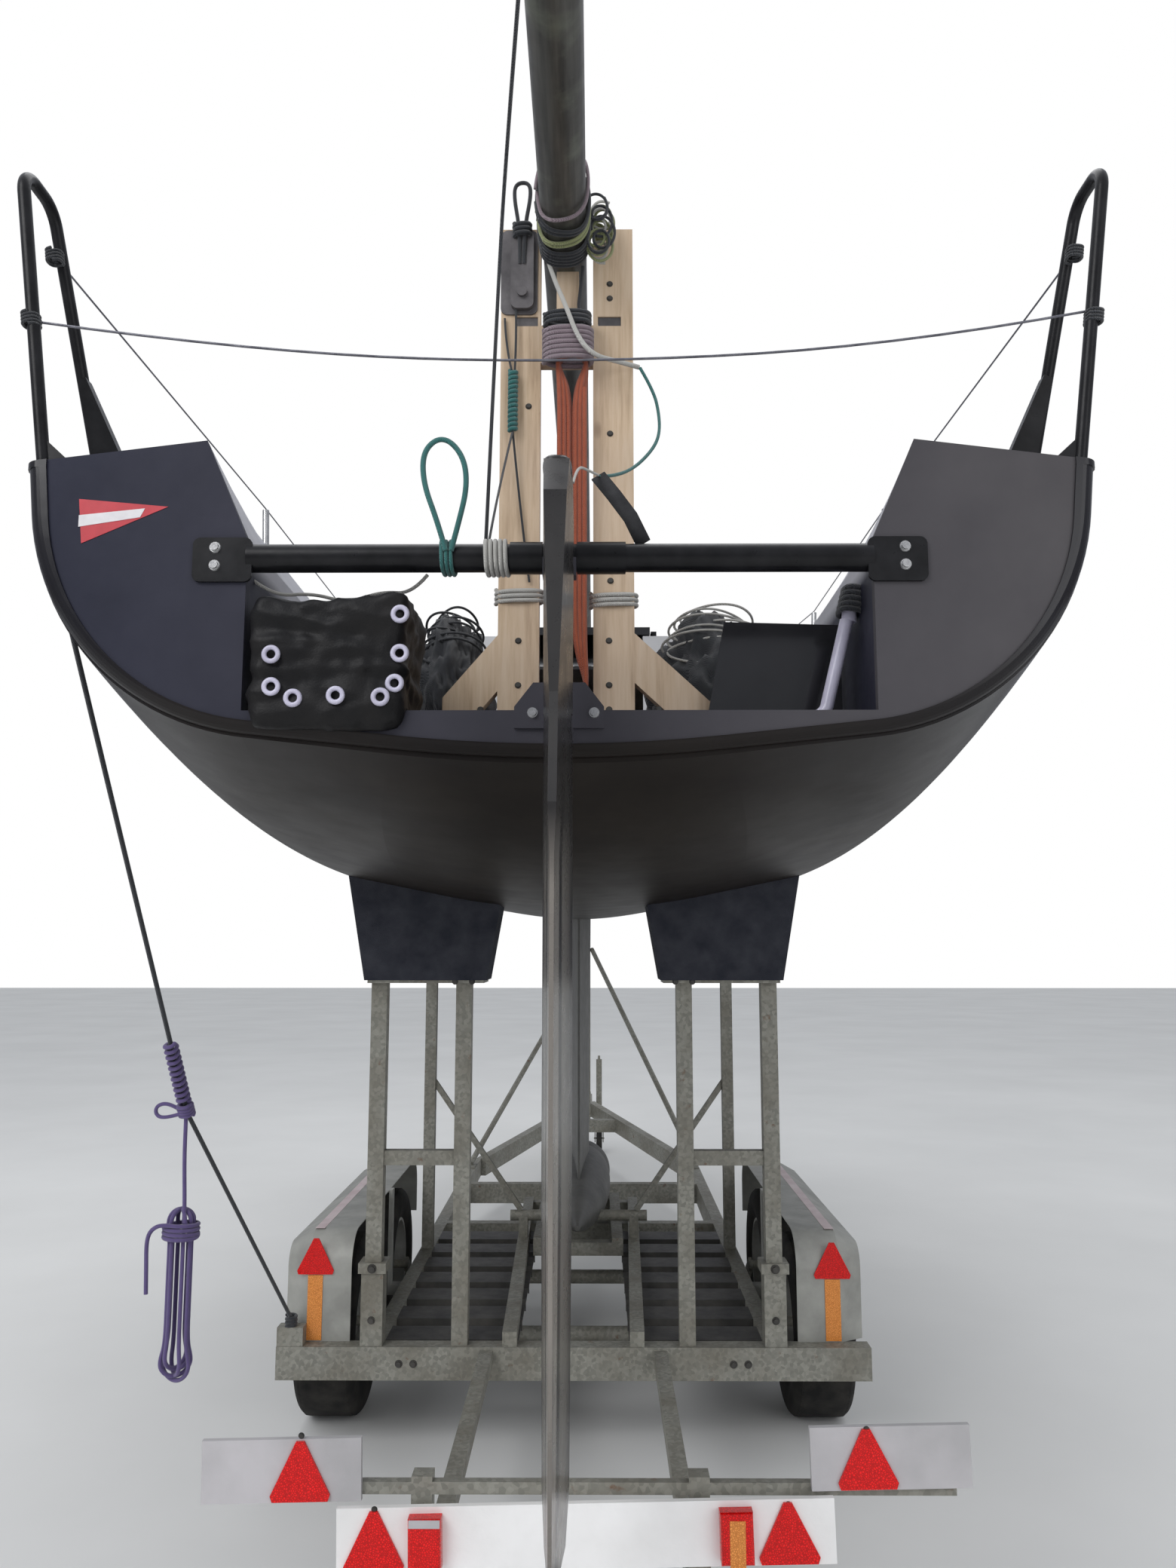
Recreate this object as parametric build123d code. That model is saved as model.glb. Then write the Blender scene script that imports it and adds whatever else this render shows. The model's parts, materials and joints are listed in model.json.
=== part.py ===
from build123d import *
import math
import os

# Racing keelboat, mast lowered, standing on its road trailer.
# Millimetres. z = 0 is the ground, +Y is towards the bow, +X is the starboard side.
# Places along the boat are measured forward from the transom plane.
os.makedirs("parts", exist_ok=True)

# Driving sizes of the hull
STERN_Y = -3600.0
HULL_LENGTH = 7450.0
SHEER_STERN_Z = 2772.0
SHEER_MID_Z = 2800.0
SHEER_BOW_Z = 2925.0
SHEER_MID_Y = 3700.0
HULL_WALL = 20.0
RIM_WIDTH = 45.0
RIM_ROUNDING = 30.0
GUNWALE_WIDTH = 50.0
TRANSOM_WALL = 22.0
TRANSOM_INSET = 5.0
DECK_WALL = 22.0
DECK_LIP = 5.0
LIP_HEIGHT = 12.0
TOPSIDE_OVERRUN = 170.0

# Cockpit and cabin
COCKPIT_HALF = 675.0
COAMING_HALF = 771.0
COAMING_TOP_Z = 2834.0
COAMING_KNEE_Z = 2608.0
COAMING_FLARE = 59.0
FLARE_LENGTH = 500.0
SOLE_Z = 2232.0
COCKPIT_LENGTH = 2450.0
TUB_WALL = 14.0
BULKHEAD_WALL = 18.0
COMPANION_HALF = 280.0
COMPANION_SILL_Z = 2420.0
ROOF_TOP_Z = 3035.0
ROOF_WALL = 16.0
CABIN_SOLE_Z = 2010.0
CABIN_SOLE_WALL = 18.0

# Keel and rudder
KEEL_Y = 3500.0
KEEL_THICKNESS = 108.0
KEEL_CHORD = 720.0
BULB_Z = 545.0
BULB_RADIUS = 145.0
BULB_LENGTH = 1500.0
RUDDER_AXIS_Y = -62.0
RUDDER_TOP_Z = 2698.0
RUDDER_TIP_Z = 640.0
PINTLE_DIAMETER = 12.0
PINTLE_GAP = 0.3

# Stern bar, guard rails, mast and crutch
BAR_DIAMETER = 61.0
BAR_Z = 2570.0
BAR_Y = 20.0
SLEEVE_DIAMETER = 70.0
RAIL_DIAMETER = 29.0
RAIL_TOP_Z = 3515.0
MAST_WIDTH = 110.0
MAST_DEPTH = 150.0
MAST_UNDER_Z = 3430.0
MAST_AFT_Y = -1400.0
MAST_LENGTH = 10000.0
CRUTCH_Y = 360.0
PLANK_WIDTH = 100.0
PLANK_THICK = 38.0
CRUTCH_TOP_Z = 3545.0
UPRIGHT_LEFT = -60.0
UPRIGHT_RIGHT = 72.0

# Trailer
WHEEL_RADIUS = 320.0
TYRE_WIDTH = 215.0
TRACK_HALF = 895.0
AXLE_REAR_Y = 2260.0
AXLE_GAP = 800.0
AXLE_TUBE = 60.0
BEAM_UNDER_Z = 256.0
BEAM_HEIGHT = 108.0
BEAM_DEPTH = 70.0
BEAM_HALF = 1024.0
BEAM_REAR_Y = 1860.0
RAIL_X = 690.0
RAIL_WIDTH = 60.0
RAIL_FRONT_Y = 5400.0
COUPLING_Y = 8480.0
POST_OUTER_X = 699.0
POST_INNER_X = 395.0
POST_SIZE = 56.0
SLEEVE_SIZE = 76.0
SLEEVE_TOP_Z = 640.0
PAD_UNDER_Z = 1612.0
PAD_CROWN_Z = 2150.0
PAD_FLARE = 0.175
REAR_PAD = (308.0, 741.0, 200.0)
FORWARD_PAD = (560.0, 800.0, 150.0)
FORWARD_POST_Y = 3170.0
STRUT_SIZE = 24.0
STRUT_HEAD_Z = 1130.0
BALL_DIAMETER = 50.0
BALL_GAP = 0.2

# Light boards behind the trailer
BOARD_Y = 278.0
BOARD_WALL = 14.0
BOARD_SHIFT = 55.0
BOARD_TILT = 1.3
GREY_LENGTH = 345.0
GREY_HEIGHT = 128.0
GREY_REACH = 829.0
GREY_MID_Z = 631.0
WHITE_HALF = 531.0
WHITE_HEIGHT = 130.0
WHITE_MID_Z = 494.0
TRIANGLE_SIDE = 138.0
TRIANGLE_WALL = 6.0


def save(shape, name):
    export_step(shape, "parts/" + name + ".step")


def at(x, y, z):
    """A place given from the transom plane, in the part's frame."""
    return (x, y + STERN_Y, z)


def block(x0, x1, y0, y1, z0, z1):
    size = (abs(x1 - x0), y1 - y0, z1 - z0)
    return Pos(*at((x0 + x1) / 2, (y0 + y1) / 2, (z0 + z1) / 2)) * Box(*size)


def rod(start, end, diameter):
    """A round bar between two places."""
    a, b = Vector(*at(*start)), Vector(*at(*end))
    plane = Plane(origin=a, z_dir=(b - a).normalized())
    return extrude(plane * Circle(diameter / 2), (b - a).length)


def square_bar(start, end, width, depth):
    a, b = Vector(*at(*start)), Vector(*at(*end))
    direction = (b - a).normalized()
    side = Vector(1, 0, 0) if abs(direction.X) < 0.9 else Vector(0, 0, 1)
    plane = Plane(origin=a, x_dir=side - direction * side.dot(direction), z_dir=direction)
    return extrude(plane * Rectangle(width, depth), (b - a).length)


def bent_tube(points, radii, diameter):
    path = FilletPolyline(*[at(*p) for p in points], radius=radii)
    start = Plane(origin=path @ 0, z_dir=path % 0)
    return sweep(start * Circle(diameter / 2), path=path)


def joined(shapes):
    total = shapes[0]
    for shape in shapes[1:]:
        total = total + shape
    return total


def pair(shape):
    """A piece and its mirror copy that doesn't touch it, in one node."""
    return Compound(children=[shape, mirror(shape, about=Plane.YZ)])


def group(shapes):
    return Compound(children=list(shapes))


# Hull sections by stations: lines, a bilge arc and a keel arc each

HULL_ROWS = (
    # from transom, half beam, chine x, chine z, keel z, bilge radius, keel radius
    (0.0, 1165.0, 1112.0, 2232.0, 2116.0, 540.0, 3400.0),
    (1400.0, 1228.0, 1118.0, 2062.0, 1822.0, 540.0, 2400.0),
    (2900.0, 1250.0, 1115.0, 2065.0, 1808.0, 540.0, 1700.0),
    (4400.0, 1140.0, 955.0, 2120.0, 1855.0, 480.0, 900.0),
    (5800.0, 820.0, 610.0, 2190.0, 1960.0, 330.0, 420.0),
    (6800.0, 424.0, 262.0, 2300.0, 2118.0, 150.0, 130.0),
    (HULL_LENGTH, 60.0, 34.0, 2420.0, 2330.0, 40.0, 26.0),
)

DECK_ROWS = (
    # from transom, coaming share of the half beam, coaming rise, crown rise
    (0.0, 0.655, 62.0, 62.0),
    (1400.0, 0.63, 64.0, 70.0),
    (2900.0, 0.62, 66.0, 96.0),
    (4400.0, 0.60, 62.0, 104.0),
    (5800.0, 0.58, 48.0, 84.0),
    (6800.0, 0.56, 30.0, 52.0),
    (HULL_LENGTH, 0.50, 15.0, 20.0),
)


def arc_through(y, stern, mid, bow):
    """Height at y on the circle through three places (y, z)."""
    (y1, z1), (y2, z2), (y3, z3) = stern, mid, bow
    d = 2 * (y1 * (z2 - z3) + y2 * (z3 - z1) + y3 * (z1 - z2))
    s1, s2, s3 = y1 * y1 + z1 * z1, y2 * y2 + z2 * z2, y3 * y3 + z3 * z3
    cy = (s1 * (z2 - z3) + s2 * (z3 - z1) + s3 * (z1 - z2)) / d
    cz = (s1 * (y3 - y2) + s2 * (y1 - y3) + s3 * (y2 - y1)) / d
    radius = math.hypot(y1 - cy, z1 - cz)
    return cz - math.sqrt(radius * radius - (y - cy) ** 2)


SHEER = ((0.0, SHEER_STERN_Z), (SHEER_MID_Y, SHEER_MID_Z), (HULL_LENGTH, SHEER_BOW_Z))


def sheer_z(y):
    return arc_through(y, *SHEER)


def corner_arc(before, corner, after, radius):
    """Start, middle and end of the arc that rounds a corner."""
    ax, az = before[0] - corner[0], before[1] - corner[1]
    bx, bz = after[0] - corner[0], after[1] - corner[1]
    la, lb = math.hypot(ax, az), math.hypot(bx, bz)
    ax, az, bx, bz = ax / la, az / la, bx / lb, bz / lb
    half = math.acos(ax * bx + az * bz) / 2
    run = radius / math.tan(half)
    mx, mz = ax + bx, az + bz
    lm = math.hypot(mx, mz)
    reach = radius / math.sin(half) - radius
    start = (corner[0] + ax * run, corner[1] + az * run)
    middle = (corner[0] + mx / lm * reach, corner[1] + mz / lm * reach)
    end = (corner[0] + bx * run, corner[1] + bz * run)
    return start, middle, end


def hull_outline(row, inset, overrun):
    """Top point, bilge corner and keel point of a half section, moved inward by inset."""
    y, beam, chine_x, chine_z, keel_z, bilge_r, keel_r = row
    top_z = sheer_z(y)
    tx, tz = beam - chine_x, top_z - chine_z
    length = math.hypot(tx, tz)
    tx, tz = tx / length, tz / length
    bx, bz = chine_x, chine_z - keel_z
    length = math.hypot(bx, bz)
    bx, bz = bx / length, bz / length
    sx, sz = chine_x - tz * inset, chine_z + tx * inset
    kx, kz = 0.0 - bz * inset, keel_z + bx * inset
    keel = (0.0, kz + bz / bx * (0.0 - kx))
    det = tx * bz - tz * bx
    s = ((keel[0] - sx) * bz - (keel[1] - sz) * bx) / det
    chine = (sx + tx * s, sz + tz * s)
    rise = (top_z - chine[1]) / tz + overrun
    top = (chine[0] + tx * rise, chine[1] + tz * rise)
    return top, chine, keel, bilge_r - inset, max(keel_r - inset, 6.0)


def hull_section(row, inset=0.0, overrun=TOPSIDE_OVERRUN, y=None):
    top, chine, keel, bilge_r, keel_r = hull_outline(row, inset, overrun)
    y = row[0] if y is None else y
    b0, bm, b1 = corner_arc(top, chine, keel, bilge_r)
    mirror_chine = (-chine[0], chine[1])
    k0, km, k1 = corner_arc(chine, keel, mirror_chine, keel_r)

    def right(p):
        return at(p[0], y, p[1])

    def left(p):
        return at(-p[0], y, p[1])

    edges = [
        Edge.make_line(right(top), right(b0)),
        Edge.make_three_point_arc(right(b0), right(bm), right(b1)),
        Edge.make_line(right(b1), right(k0)),
        Edge.make_three_point_arc(right(k0), right(km), left(k0)),
        Edge.make_line(left(k0), left(b1)),
        Edge.make_three_point_arc(left(b1), left(bm), left(b0)),
        Edge.make_line(left(b0), left(top)),
        Edge.make_line(left(top), right(top)),
    ]
    return Wire(edges)


def polygon_wire(points, y):
    places = [at(x, y, z) for x, z in points]
    return Wire.make_polygon([Vector(*p) for p in places], close=True)


def deck_wire(index, drop, low=1700.0):
    y, share, rise, crown = DECK_ROWS[index]
    beam = HULL_ROWS[index][1] + DECK_LIP - drop * 1.4
    zs = sheer_z(y)
    shoulder = max(beam * share, 8.0) if drop == 0 else max(HULL_ROWS[index][1] * share, 6.0)
    right = [(beam, low), (beam, zs + LIP_HEIGHT - drop), (shoulder, zs + rise - drop)]
    top = [(0.0, zs + crown - drop + 0.01)]
    left = [(-x, z) for x, z in reversed(right)]
    return polygon_wire(right + top + left, y)


def above_sheer():
    """Everything above the sheer surface, as one block."""
    start, end = -300.0, HULL_LENGTH + 200.0
    path = [(0.0, start, sheer_z(start)), (0.0, SHEER_MID_Y, SHEER_MID_Z), (0.0, end, sheer_z(end))]
    arc = Edge.make_three_point_arc(*[at(*p) for p in path])
    high = 4200.0
    top = Wire.make_polygon([Vector(*at(0, end, sheer_z(end))), Vector(*at(0, end, high)),
                             Vector(*at(0, start, high)), Vector(*at(0, start, sheer_z(start)))],
                            close=False)
    face = Face(Wire([arc] + list(top.edges())))
    half = 1500.0
    return Pos(-half, 0, 0) * extrude(face, 2 * half, dir=(1, 0, 0))


ROUNDING_STEPS = 6
ROUNDING_LAP = 2.0


def rounded_stern(body):
    """The hull's after edge, rounded all the way round."""
    wires = []
    for number in range(ROUNDING_STEPS + 1):
        turn = math.pi / 2 * number / ROUNDING_STEPS
        ahead = 1 - math.cos(turn)
        inset = RIM_ROUNDING * (1 - math.sin(turn)) - ROUNDING_LAP * ahead
        wires.append(hull_section(HULL_ROWS[0], inset, y=RIM_ROUNDING * ahead))
    rest = block(-2000, 2000, RIM_ROUNDING, HULL_LENGTH + 100, 1000, 3600)
    return body & (Solid.make_loft(wires, ruled=True) + rest)


HULL_OUTER = rounded_stern(Solid.make_loft([hull_section(row) for row in HULL_ROWS]))
HULL_INNER = Solid.make_loft([hull_section(row, HULL_WALL) for row in HULL_ROWS])
DECK_OUTER = Solid.make_loft([deck_wire(i, 0.0) for i in range(len(DECK_ROWS))])
DECK_INNER = Solid.make_loft([deck_wire(i, DECK_WALL) for i in range(len(DECK_ROWS))])
SHEER_BLOCK = above_sheer()


def gunwale_core():
    """All that lies inboard of the gunwale strip."""
    wires = []
    for row in HULL_ROWS:
        half = row[1] + DECK_LIP - GUNWALE_WIDTH
        wires.append(polygon_wire([(half, 2500.0), (half, 3300.0), (-half, 3300.0), (-half, 2500.0)], row[0]))
    return Solid.make_loft(wires)


GUNWALE_CORE = gunwale_core()

PANEL_DROP = 20.0
PANEL_ROW = HULL_ROWS[0][:3] + (HULL_ROWS[0][3] - PANEL_DROP, HULL_ROWS[0][4] - PANEL_DROP) + HULL_ROWS[0][5:]


def transom_outline():
    """The matte stern panel: the hull's section moved in by the rim, up to the deck's top."""
    section = Face(hull_section(PANEL_ROW, RIM_WIDTH))
    body = Pos(0, TRANSOM_INSET, 0) * extrude(section, TRANSOM_WALL, dir=(0, 1, 0))
    return body & DECK_OUTER


def coaming_half(y):
    """The coaming flares quickly just forward of the transom, then slowly."""
    near = min(max(y, 0.0), FLARE_LENGTH) / FLARE_LENGTH
    far = max(y - FLARE_LENGTH, 0.0) / (COCKPIT_LENGTH - FLARE_LENGTH)
    return COAMING_HALF + COAMING_FLARE * (near + far / 3)


def cockpit_profile(spread, y):
    """The cockpit's cross-section; spread moves its walls outward."""
    slope = (coaming_half(y) - COCKPIT_HALF) / (COAMING_TOP_Z - COAMING_KNEE_Z)
    high = 3000.0
    flare = coaming_half(y) + slope * (high - COAMING_TOP_Z)
    half = [(COCKPIT_HALF + spread, SOLE_Z - spread), (COCKPIT_HALF + spread, COAMING_KNEE_Z),
            (flare + spread, high)]
    return half + [(-x, z) for x, z in reversed(half)]


def cockpit_block(spread, start, end):
    stations = [start] + [y for y in (0.0, FLARE_LENGTH) if start < y < end] + [end]
    wires = [polygon_wire(cockpit_profile(spread, y), y) for y in stations]
    return Solid.make_loft(wires, ruled=True)


TRANSOM_BODY = transom_outline()


def make_hull():
    inner = HULL_INNER - block(-1500, 1500, -10, TRANSOM_INSET + TRANSOM_WALL, 1500, 3600)
    inner = inner - block(-1500, 1500, HULL_LENGTH - 60, HULL_LENGTH + 10, 1500, 3600)
    shell = HULL_OUTER - inner - SHEER_BLOCK
    recess = extrude(Face(hull_section(PANEL_ROW, RIM_WIDTH)), TRANSOM_WALL + TRANSOM_INSET, dir=(0, 1, 0))
    return shell - recess


HULL_SHELL = make_hull()


def make_gunwale():
    """The dark strip along the deck's edge, with rounded after ends."""
    strip = (DECK_OUTER & SHEER_BLOCK) - GUNWALE_CORE - TRANSOM_BODY
    reach = HULL_ROWS[0][1] + DECK_LIP
    limit = block(-reach - 200, reach + 200, 0, HULL_LENGTH + 100, 2600, 3300)
    for side in (-1, 1):
        corner = block(side * (reach - RIM_ROUNDING), side * (reach + 300), -10, RIM_ROUNDING, 2500, 3400)
        x = side * (reach - RIM_ROUNDING)
        post = rod((x, RIM_ROUNDING, 2500), (x, RIM_ROUNDING, 3400), 2 * RIM_ROUNDING)
        limit = limit - (corner - post)
    return strip & limit


def make_deck():
    inner = DECK_INNER - block(-1500, 1500, HULL_LENGTH - 40, HULL_LENGTH + 10, 1500, 3600)
    shell = ((DECK_OUTER - inner) & SHEER_BLOCK) & GUNWALE_CORE
    shell = shell - block(-1500, 1500, -10, TRANSOM_INSET + TRANSOM_WALL, 2500, 3300)
    shell = shell - cockpit_block(TUB_WALL, -20.0, COCKPIT_LENGTH)
    return shell - roof_block(0.0) - hatch_hole()


def roof_block(inset):
    """The low cabin top: an aft and a forward section, tapering to the foredeck."""
    rows = (
        # from transom, half width at foot, half width at top, top z
        (COCKPIT_LENGTH, 620.0, 520.0, ROOF_TOP_Z),
        (3700.0, 560.0, 440.0, ROOF_TOP_Z - 6.0),
        (4700.0, 330.0, 230.0, 2925.0),
    )
    wires = []
    for y, foot, top, z in rows:
        points = [(foot - inset, 2700.0), (top - inset, z - inset), (-top + inset, z - inset),
                  (-foot + inset, 2700.0)]
        wires.append(polygon_wire(points, y))
    return Solid.make_loft(wires, ruled=True)


WINDOW_ROWS = (
    # start, end, under z, over z
    (2800.0, 3300.0, 2915.0, 2985.0),
    (3420.0, 3900.0, 2915.0, 2975.0),
)


def window_holes():
    holes = []
    for start, end, low, high in WINDOW_ROWS:
        holes.append(block(-900, 900, start, end, low, high))
    return holes


def make_coachroof():
    shell = roof_block(0.0) - roof_block(ROOF_WALL)
    shell = shell - block(-700, 700, 4640, 4760, 2600, 3200) + (
        roof_block(0.0) & block(-700, 700, 4640, 4760, 2600, 3200))
    shell = shell - DECK_OUTER
    for hole in window_holes():
        shell = shell - hole
    return shell - block(-COMPANION_HALF, COMPANION_HALF, COCKPIT_LENGTH - 10,
                         COCKPIT_LENGTH + 520, 2990, 3200)


def make_windows():
    panes = []
    glass = roof_block(4.0) - roof_block(10.0)
    for hole in window_holes():
        for side in (-1, 1):
            panes.append((glass & hole) & block(side * 200, side * 900, 2000, 5000, 2600, 3200))
    return group(panes)


def make_bulkhead():
    start, end = COCKPIT_LENGTH - BULKHEAD_WALL, COCKPIT_LENGTH
    plate = block(-1300, 1300, start, end, 1700, 3300)
    inside = (HULL_INNER - SHEER_BLOCK) + (DECK_INNER & SHEER_BLOCK)
    upper = roof_block(0.0) & block(-900, 900, COCKPIT_LENGTH, COCKPIT_LENGTH + 2, 2700, 3300)
    aft_face = upper.faces().sort_by(Axis.Y)[0]
    upper = Pos(0, -BULKHEAD_WALL, 0) * extrude(aft_face, BULKHEAD_WALL, dir=(0, 1, 0))
    body = (plate & inside) + (upper - (DECK_INNER & plate))
    door = block(-COMPANION_HALF, COMPANION_HALF, start - 5, end + 5, COMPANION_SILL_Z, 3300)
    return body - door


def make_tub():
    outer = cockpit_block(TUB_WALL, TRANSOM_INSET + TRANSOM_WALL, COCKPIT_LENGTH - BULKHEAD_WALL)
    inner = cockpit_block(0.0, 0.0, COCKPIT_LENGTH)
    walls = outer - inner
    return (walls & DECK_OUTER) - HULL_SHELL


def make_transom_panel():
    return TRANSOM_BODY - cockpit_block(0.0, -20.0, 200.0)


def make_cabin_sole():
    plate = block(-520, 520, COCKPIT_LENGTH + 40, 5000, CABIN_SOLE_Z, CABIN_SOLE_Z + CABIN_SOLE_WALL)
    return plate & HULL_INNER


HATCH_Y = (5200.0, 5700.0)
HATCH_HALF = 245.0
HATCH_LID = 14.0
HATCH_CLEAR = 6.0
FRAME_BORDER = 22.0


def hatch_hole():
    return block(-HATCH_HALF, HATCH_HALF, HATCH_Y[0], HATCH_Y[1], 2600, 3200)


def hatch_frame_top():
    return sheer_z(HATCH_Y[1]) + 112.0


def make_hatch_frame():
    outer = block(-HATCH_HALF, HATCH_HALF, HATCH_Y[0], HATCH_Y[1], 2780, hatch_frame_top())
    inner = block(-HATCH_HALF + FRAME_BORDER, HATCH_HALF - FRAME_BORDER, HATCH_Y[0] + FRAME_BORDER,
                  HATCH_Y[1] - FRAME_BORDER, 2700, 3300)
    y, z = HATCH_Y[0] - 16.0, hatch_frame_top() + HATCH_CLEAR + HATCH_LID / 2
    lugs = []
    for x in (-150.0, 150.0):
        lug = block(x - 12, x + 12, y - 11, y + 11, z - 44, z + 11)
        lug = lug + block(x - 12, x + 12, y, HATCH_Y[0], z - 44, hatch_frame_top())
        lugs.append(lug - rod((x - 30, y, z), (x + 30, y, z), 8.6))
    frame = outer - inner
    return joined([frame] + lugs) - DECK_OUTER + frame


def make_foredeck_hatch():
    y, z = HATCH_Y[0] - 16.0, hatch_frame_top() + HATCH_CLEAR + HATCH_LID / 2
    lid = block(-HATCH_HALF, HATCH_HALF, HATCH_Y[0], HATCH_Y[1], z - HATCH_LID / 2, z + HATCH_LID / 2)
    pin = rod((-190, y, z), (190, y, z), 8.0)
    arms = [block(x - 15, x + 15, y - 9, HATCH_Y[0] + 5, z - 7, z + 7) for x in (-185.0, 0.0, 185.0)]
    return joined([lid, pin] + arms)


def make_companion_hatch():
    z = ROOF_TOP_Z + 8.0
    half, aft = COMPANION_HALF + 30, COCKPIT_LENGTH - 10
    lid = block(-half, half, aft, COCKPIT_LENGTH + 560, z, z + 12)
    lip = block(-half, half, aft - 12, aft, z - 3, z + 30)
    reach = COMPANION_HALF + 42
    tongues = block(-reach, reach, COCKPIT_LENGTH + 60, COCKPIT_LENGTH + 540, z, z + 12)
    return joined([lid, lip, tongues])


def make_hatch_runners():
    z = ROOF_TOP_Z - 4.0
    inner, end = COMPANION_HALF + 35.5, COCKPIT_LENGTH + 1150
    runner = block(inner, COMPANION_HALF + 60, COCKPIT_LENGTH + 20, end, z, z + 34)
    groove = block(inner - 5.5, COMPANION_HALF + 42.4, COCKPIT_LENGTH, end + 50, z + 11.6, z + 24.4)
    return pair(runner - groove - roof_block(0.0))


def foil(front_reach, back_reach, thickness, tail, y, z):
    """A fin's section: a round nose, straight flanks and a square tail, closed."""
    nose, end = thickness / 2, tail / 2
    front, back = y + front_reach, y - back_reach
    edges = [
        Edge.make_three_point_arc(at(-nose, front - nose, z), at(0, front, z), at(nose, front - nose, z)),
        Edge.make_line(at(nose, front - nose, z), at(end, back, z)),
        Edge.make_line(at(end, back, z), at(-end, back, z)),
        Edge.make_line(at(-end, back, z), at(-nose, front - nose, z)),
    ]
    return Wire(edges)


def make_keel_fin():
    top = foil(KEEL_CHORD / 2, KEEL_CHORD / 2, KEEL_THICKNESS, 10.0, KEEL_Y, 2000.0)
    bottom = foil(KEEL_CHORD * 0.4, KEEL_CHORD * 0.4, KEEL_THICKNESS * 0.8, 8.0, KEEL_Y, BULB_Z)
    fin = Solid.make_loft([top, bottom])
    return fin - HULL_OUTER - bulb_body()


def bulb_body():
    half = BULB_LENGTH / 2
    nose = BULB_RADIUS
    bow_cheek = at(0, KEEL_Y + half - nose * 0.5, BULB_Z + nose * 0.72)
    crown = at(0, KEEL_Y + half - nose * 1.9, BULB_Z + nose)
    waist = at(0, KEEL_Y - 100, BULB_Z + nose * 0.93)
    profile = Wire([
        Edge.make_three_point_arc(at(0, KEEL_Y + half, BULB_Z), bow_cheek, crown),
        Edge.make_three_point_arc(crown, waist, at(0, KEEL_Y - half, BULB_Z + 12)),
        Edge.make_line(at(0, KEEL_Y - half, BULB_Z + 12), at(0, KEEL_Y - half, BULB_Z)),
        Edge.make_line(at(0, KEEL_Y - half, BULB_Z), at(0, KEEL_Y + half, BULB_Z)),
    ])
    return revolve(Face(profile), axis=Axis(at(0, KEEL_Y, BULB_Z), (0, 1, 0)))


GUDGEON_ROWS = (2540.0, 2190.0)


RUDDER_ROWS = (
    # z, reach forward of the axis, reach aft, thickness, tail width
    (RUDDER_TOP_Z, 18.0, 150.0, 60.0, 52.0),
    (RUDDER_TOP_Z - 98.0, 18.0, 235.0, 64.0, 45.0),
    (2200.0, 18.0, 270.0, 60.0, 17.0),
    (1990.0, 30.0, 330.0, 60.0, 16.0),
    (1900.0, 30.0, 330.0, 60.0, 8.0),
    (1300.0, 30.0, 330.0, 60.0, 8.0),
    (RUDDER_TIP_Z + 90.0, 18.0, 300.0, 52.0, 7.0),
    (RUDDER_TIP_Z, -20.0, 235.0, 40.0, 7.0),
)
PINTLE_RECESS = 32.0


def make_rudder():
    """Head and blade in one: a foil that hangs on two pintles."""
    wires = [foil(front, back, thick, tail, RUDDER_AXIS_Y, z) for z, front, back, thick, tail in RUDDER_ROWS]
    body = Solid.make_loft(wires, ruled=True)
    for z in GUDGEON_ROWS:
        body = body - block(-60, 60, RUDDER_AXIS_Y - PINTLE_RECESS, 10, z - 22, z + 16.4)
        body = body + rod((0, RUDDER_AXIS_Y, z - 26), (0, RUDDER_AXIS_Y, z + 26), PINTLE_DIAMETER)
    return body


def make_gudgeons():
    """Eyes that carry the pintles: the upper on the bar, the lower on a gusset at the sill."""
    pieces = []
    for z in GUDGEON_ROWS:
        on_bar = z > SOLE_Z
        back = BAR_Y - SLEEVE_DIAMETER / 2 if on_bar else TRANSOM_INSET
        arm = block(-16, 16, RUDDER_AXIS_Y, back, z - 16, z + 16)
        eye = Pos(*at(0, RUDDER_AXIS_Y, z)) * Cylinder(16, 32)
        bore = rod((0, RUDDER_AXIS_Y, z - 40), (0, RUDDER_AXIS_Y, z + 40), PINTLE_DIAMETER + 2 * PINTLE_GAP)
        piece = arm + eye
        if on_bar:
            piece = piece + block(-36, 36, BAR_Y - 38, BAR_Y, z - 20, z + 20)
            piece = piece - rod((-60, BAR_Y, BAR_Z), (60, BAR_Y, BAR_Z), SLEEVE_DIAMETER)
        else:
            piece = piece + block(-30, 30, -3, TRANSOM_INSET, z - 24, z + 24) + sill_gusset()
        pieces.append(piece - bore)
    return group(pieces)


GUSSET_HALF = (95.0, 55.0)
GUSSET_RISE = 58.0


def sill_gusset():
    """A low trapezoid plate across the sill, behind the rudder."""
    foot, top = GUSSET_HALF
    low = SOLE_Z - 40
    points = [(foot, low), (foot, SOLE_Z + 6), (top, SOLE_Z + GUSSET_RISE), (-top, SOLE_Z + GUSSET_RISE),
              (-foot, SOLE_Z + 6), (-foot, low)]
    return extrude(Face(polygon_wire(points, -3.0)), TRANSOM_INSET + 3.0, dir=(0, 1, 0))


SLEEVE_SPANS = ((-107.0, -37.0), (37.0, 142.0))
FLANGE_SPAN = (662.0, 790.0)
FLANGE_Z = (2512.0, 2610.0)
FLANGE_WALL = 8.0


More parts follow.
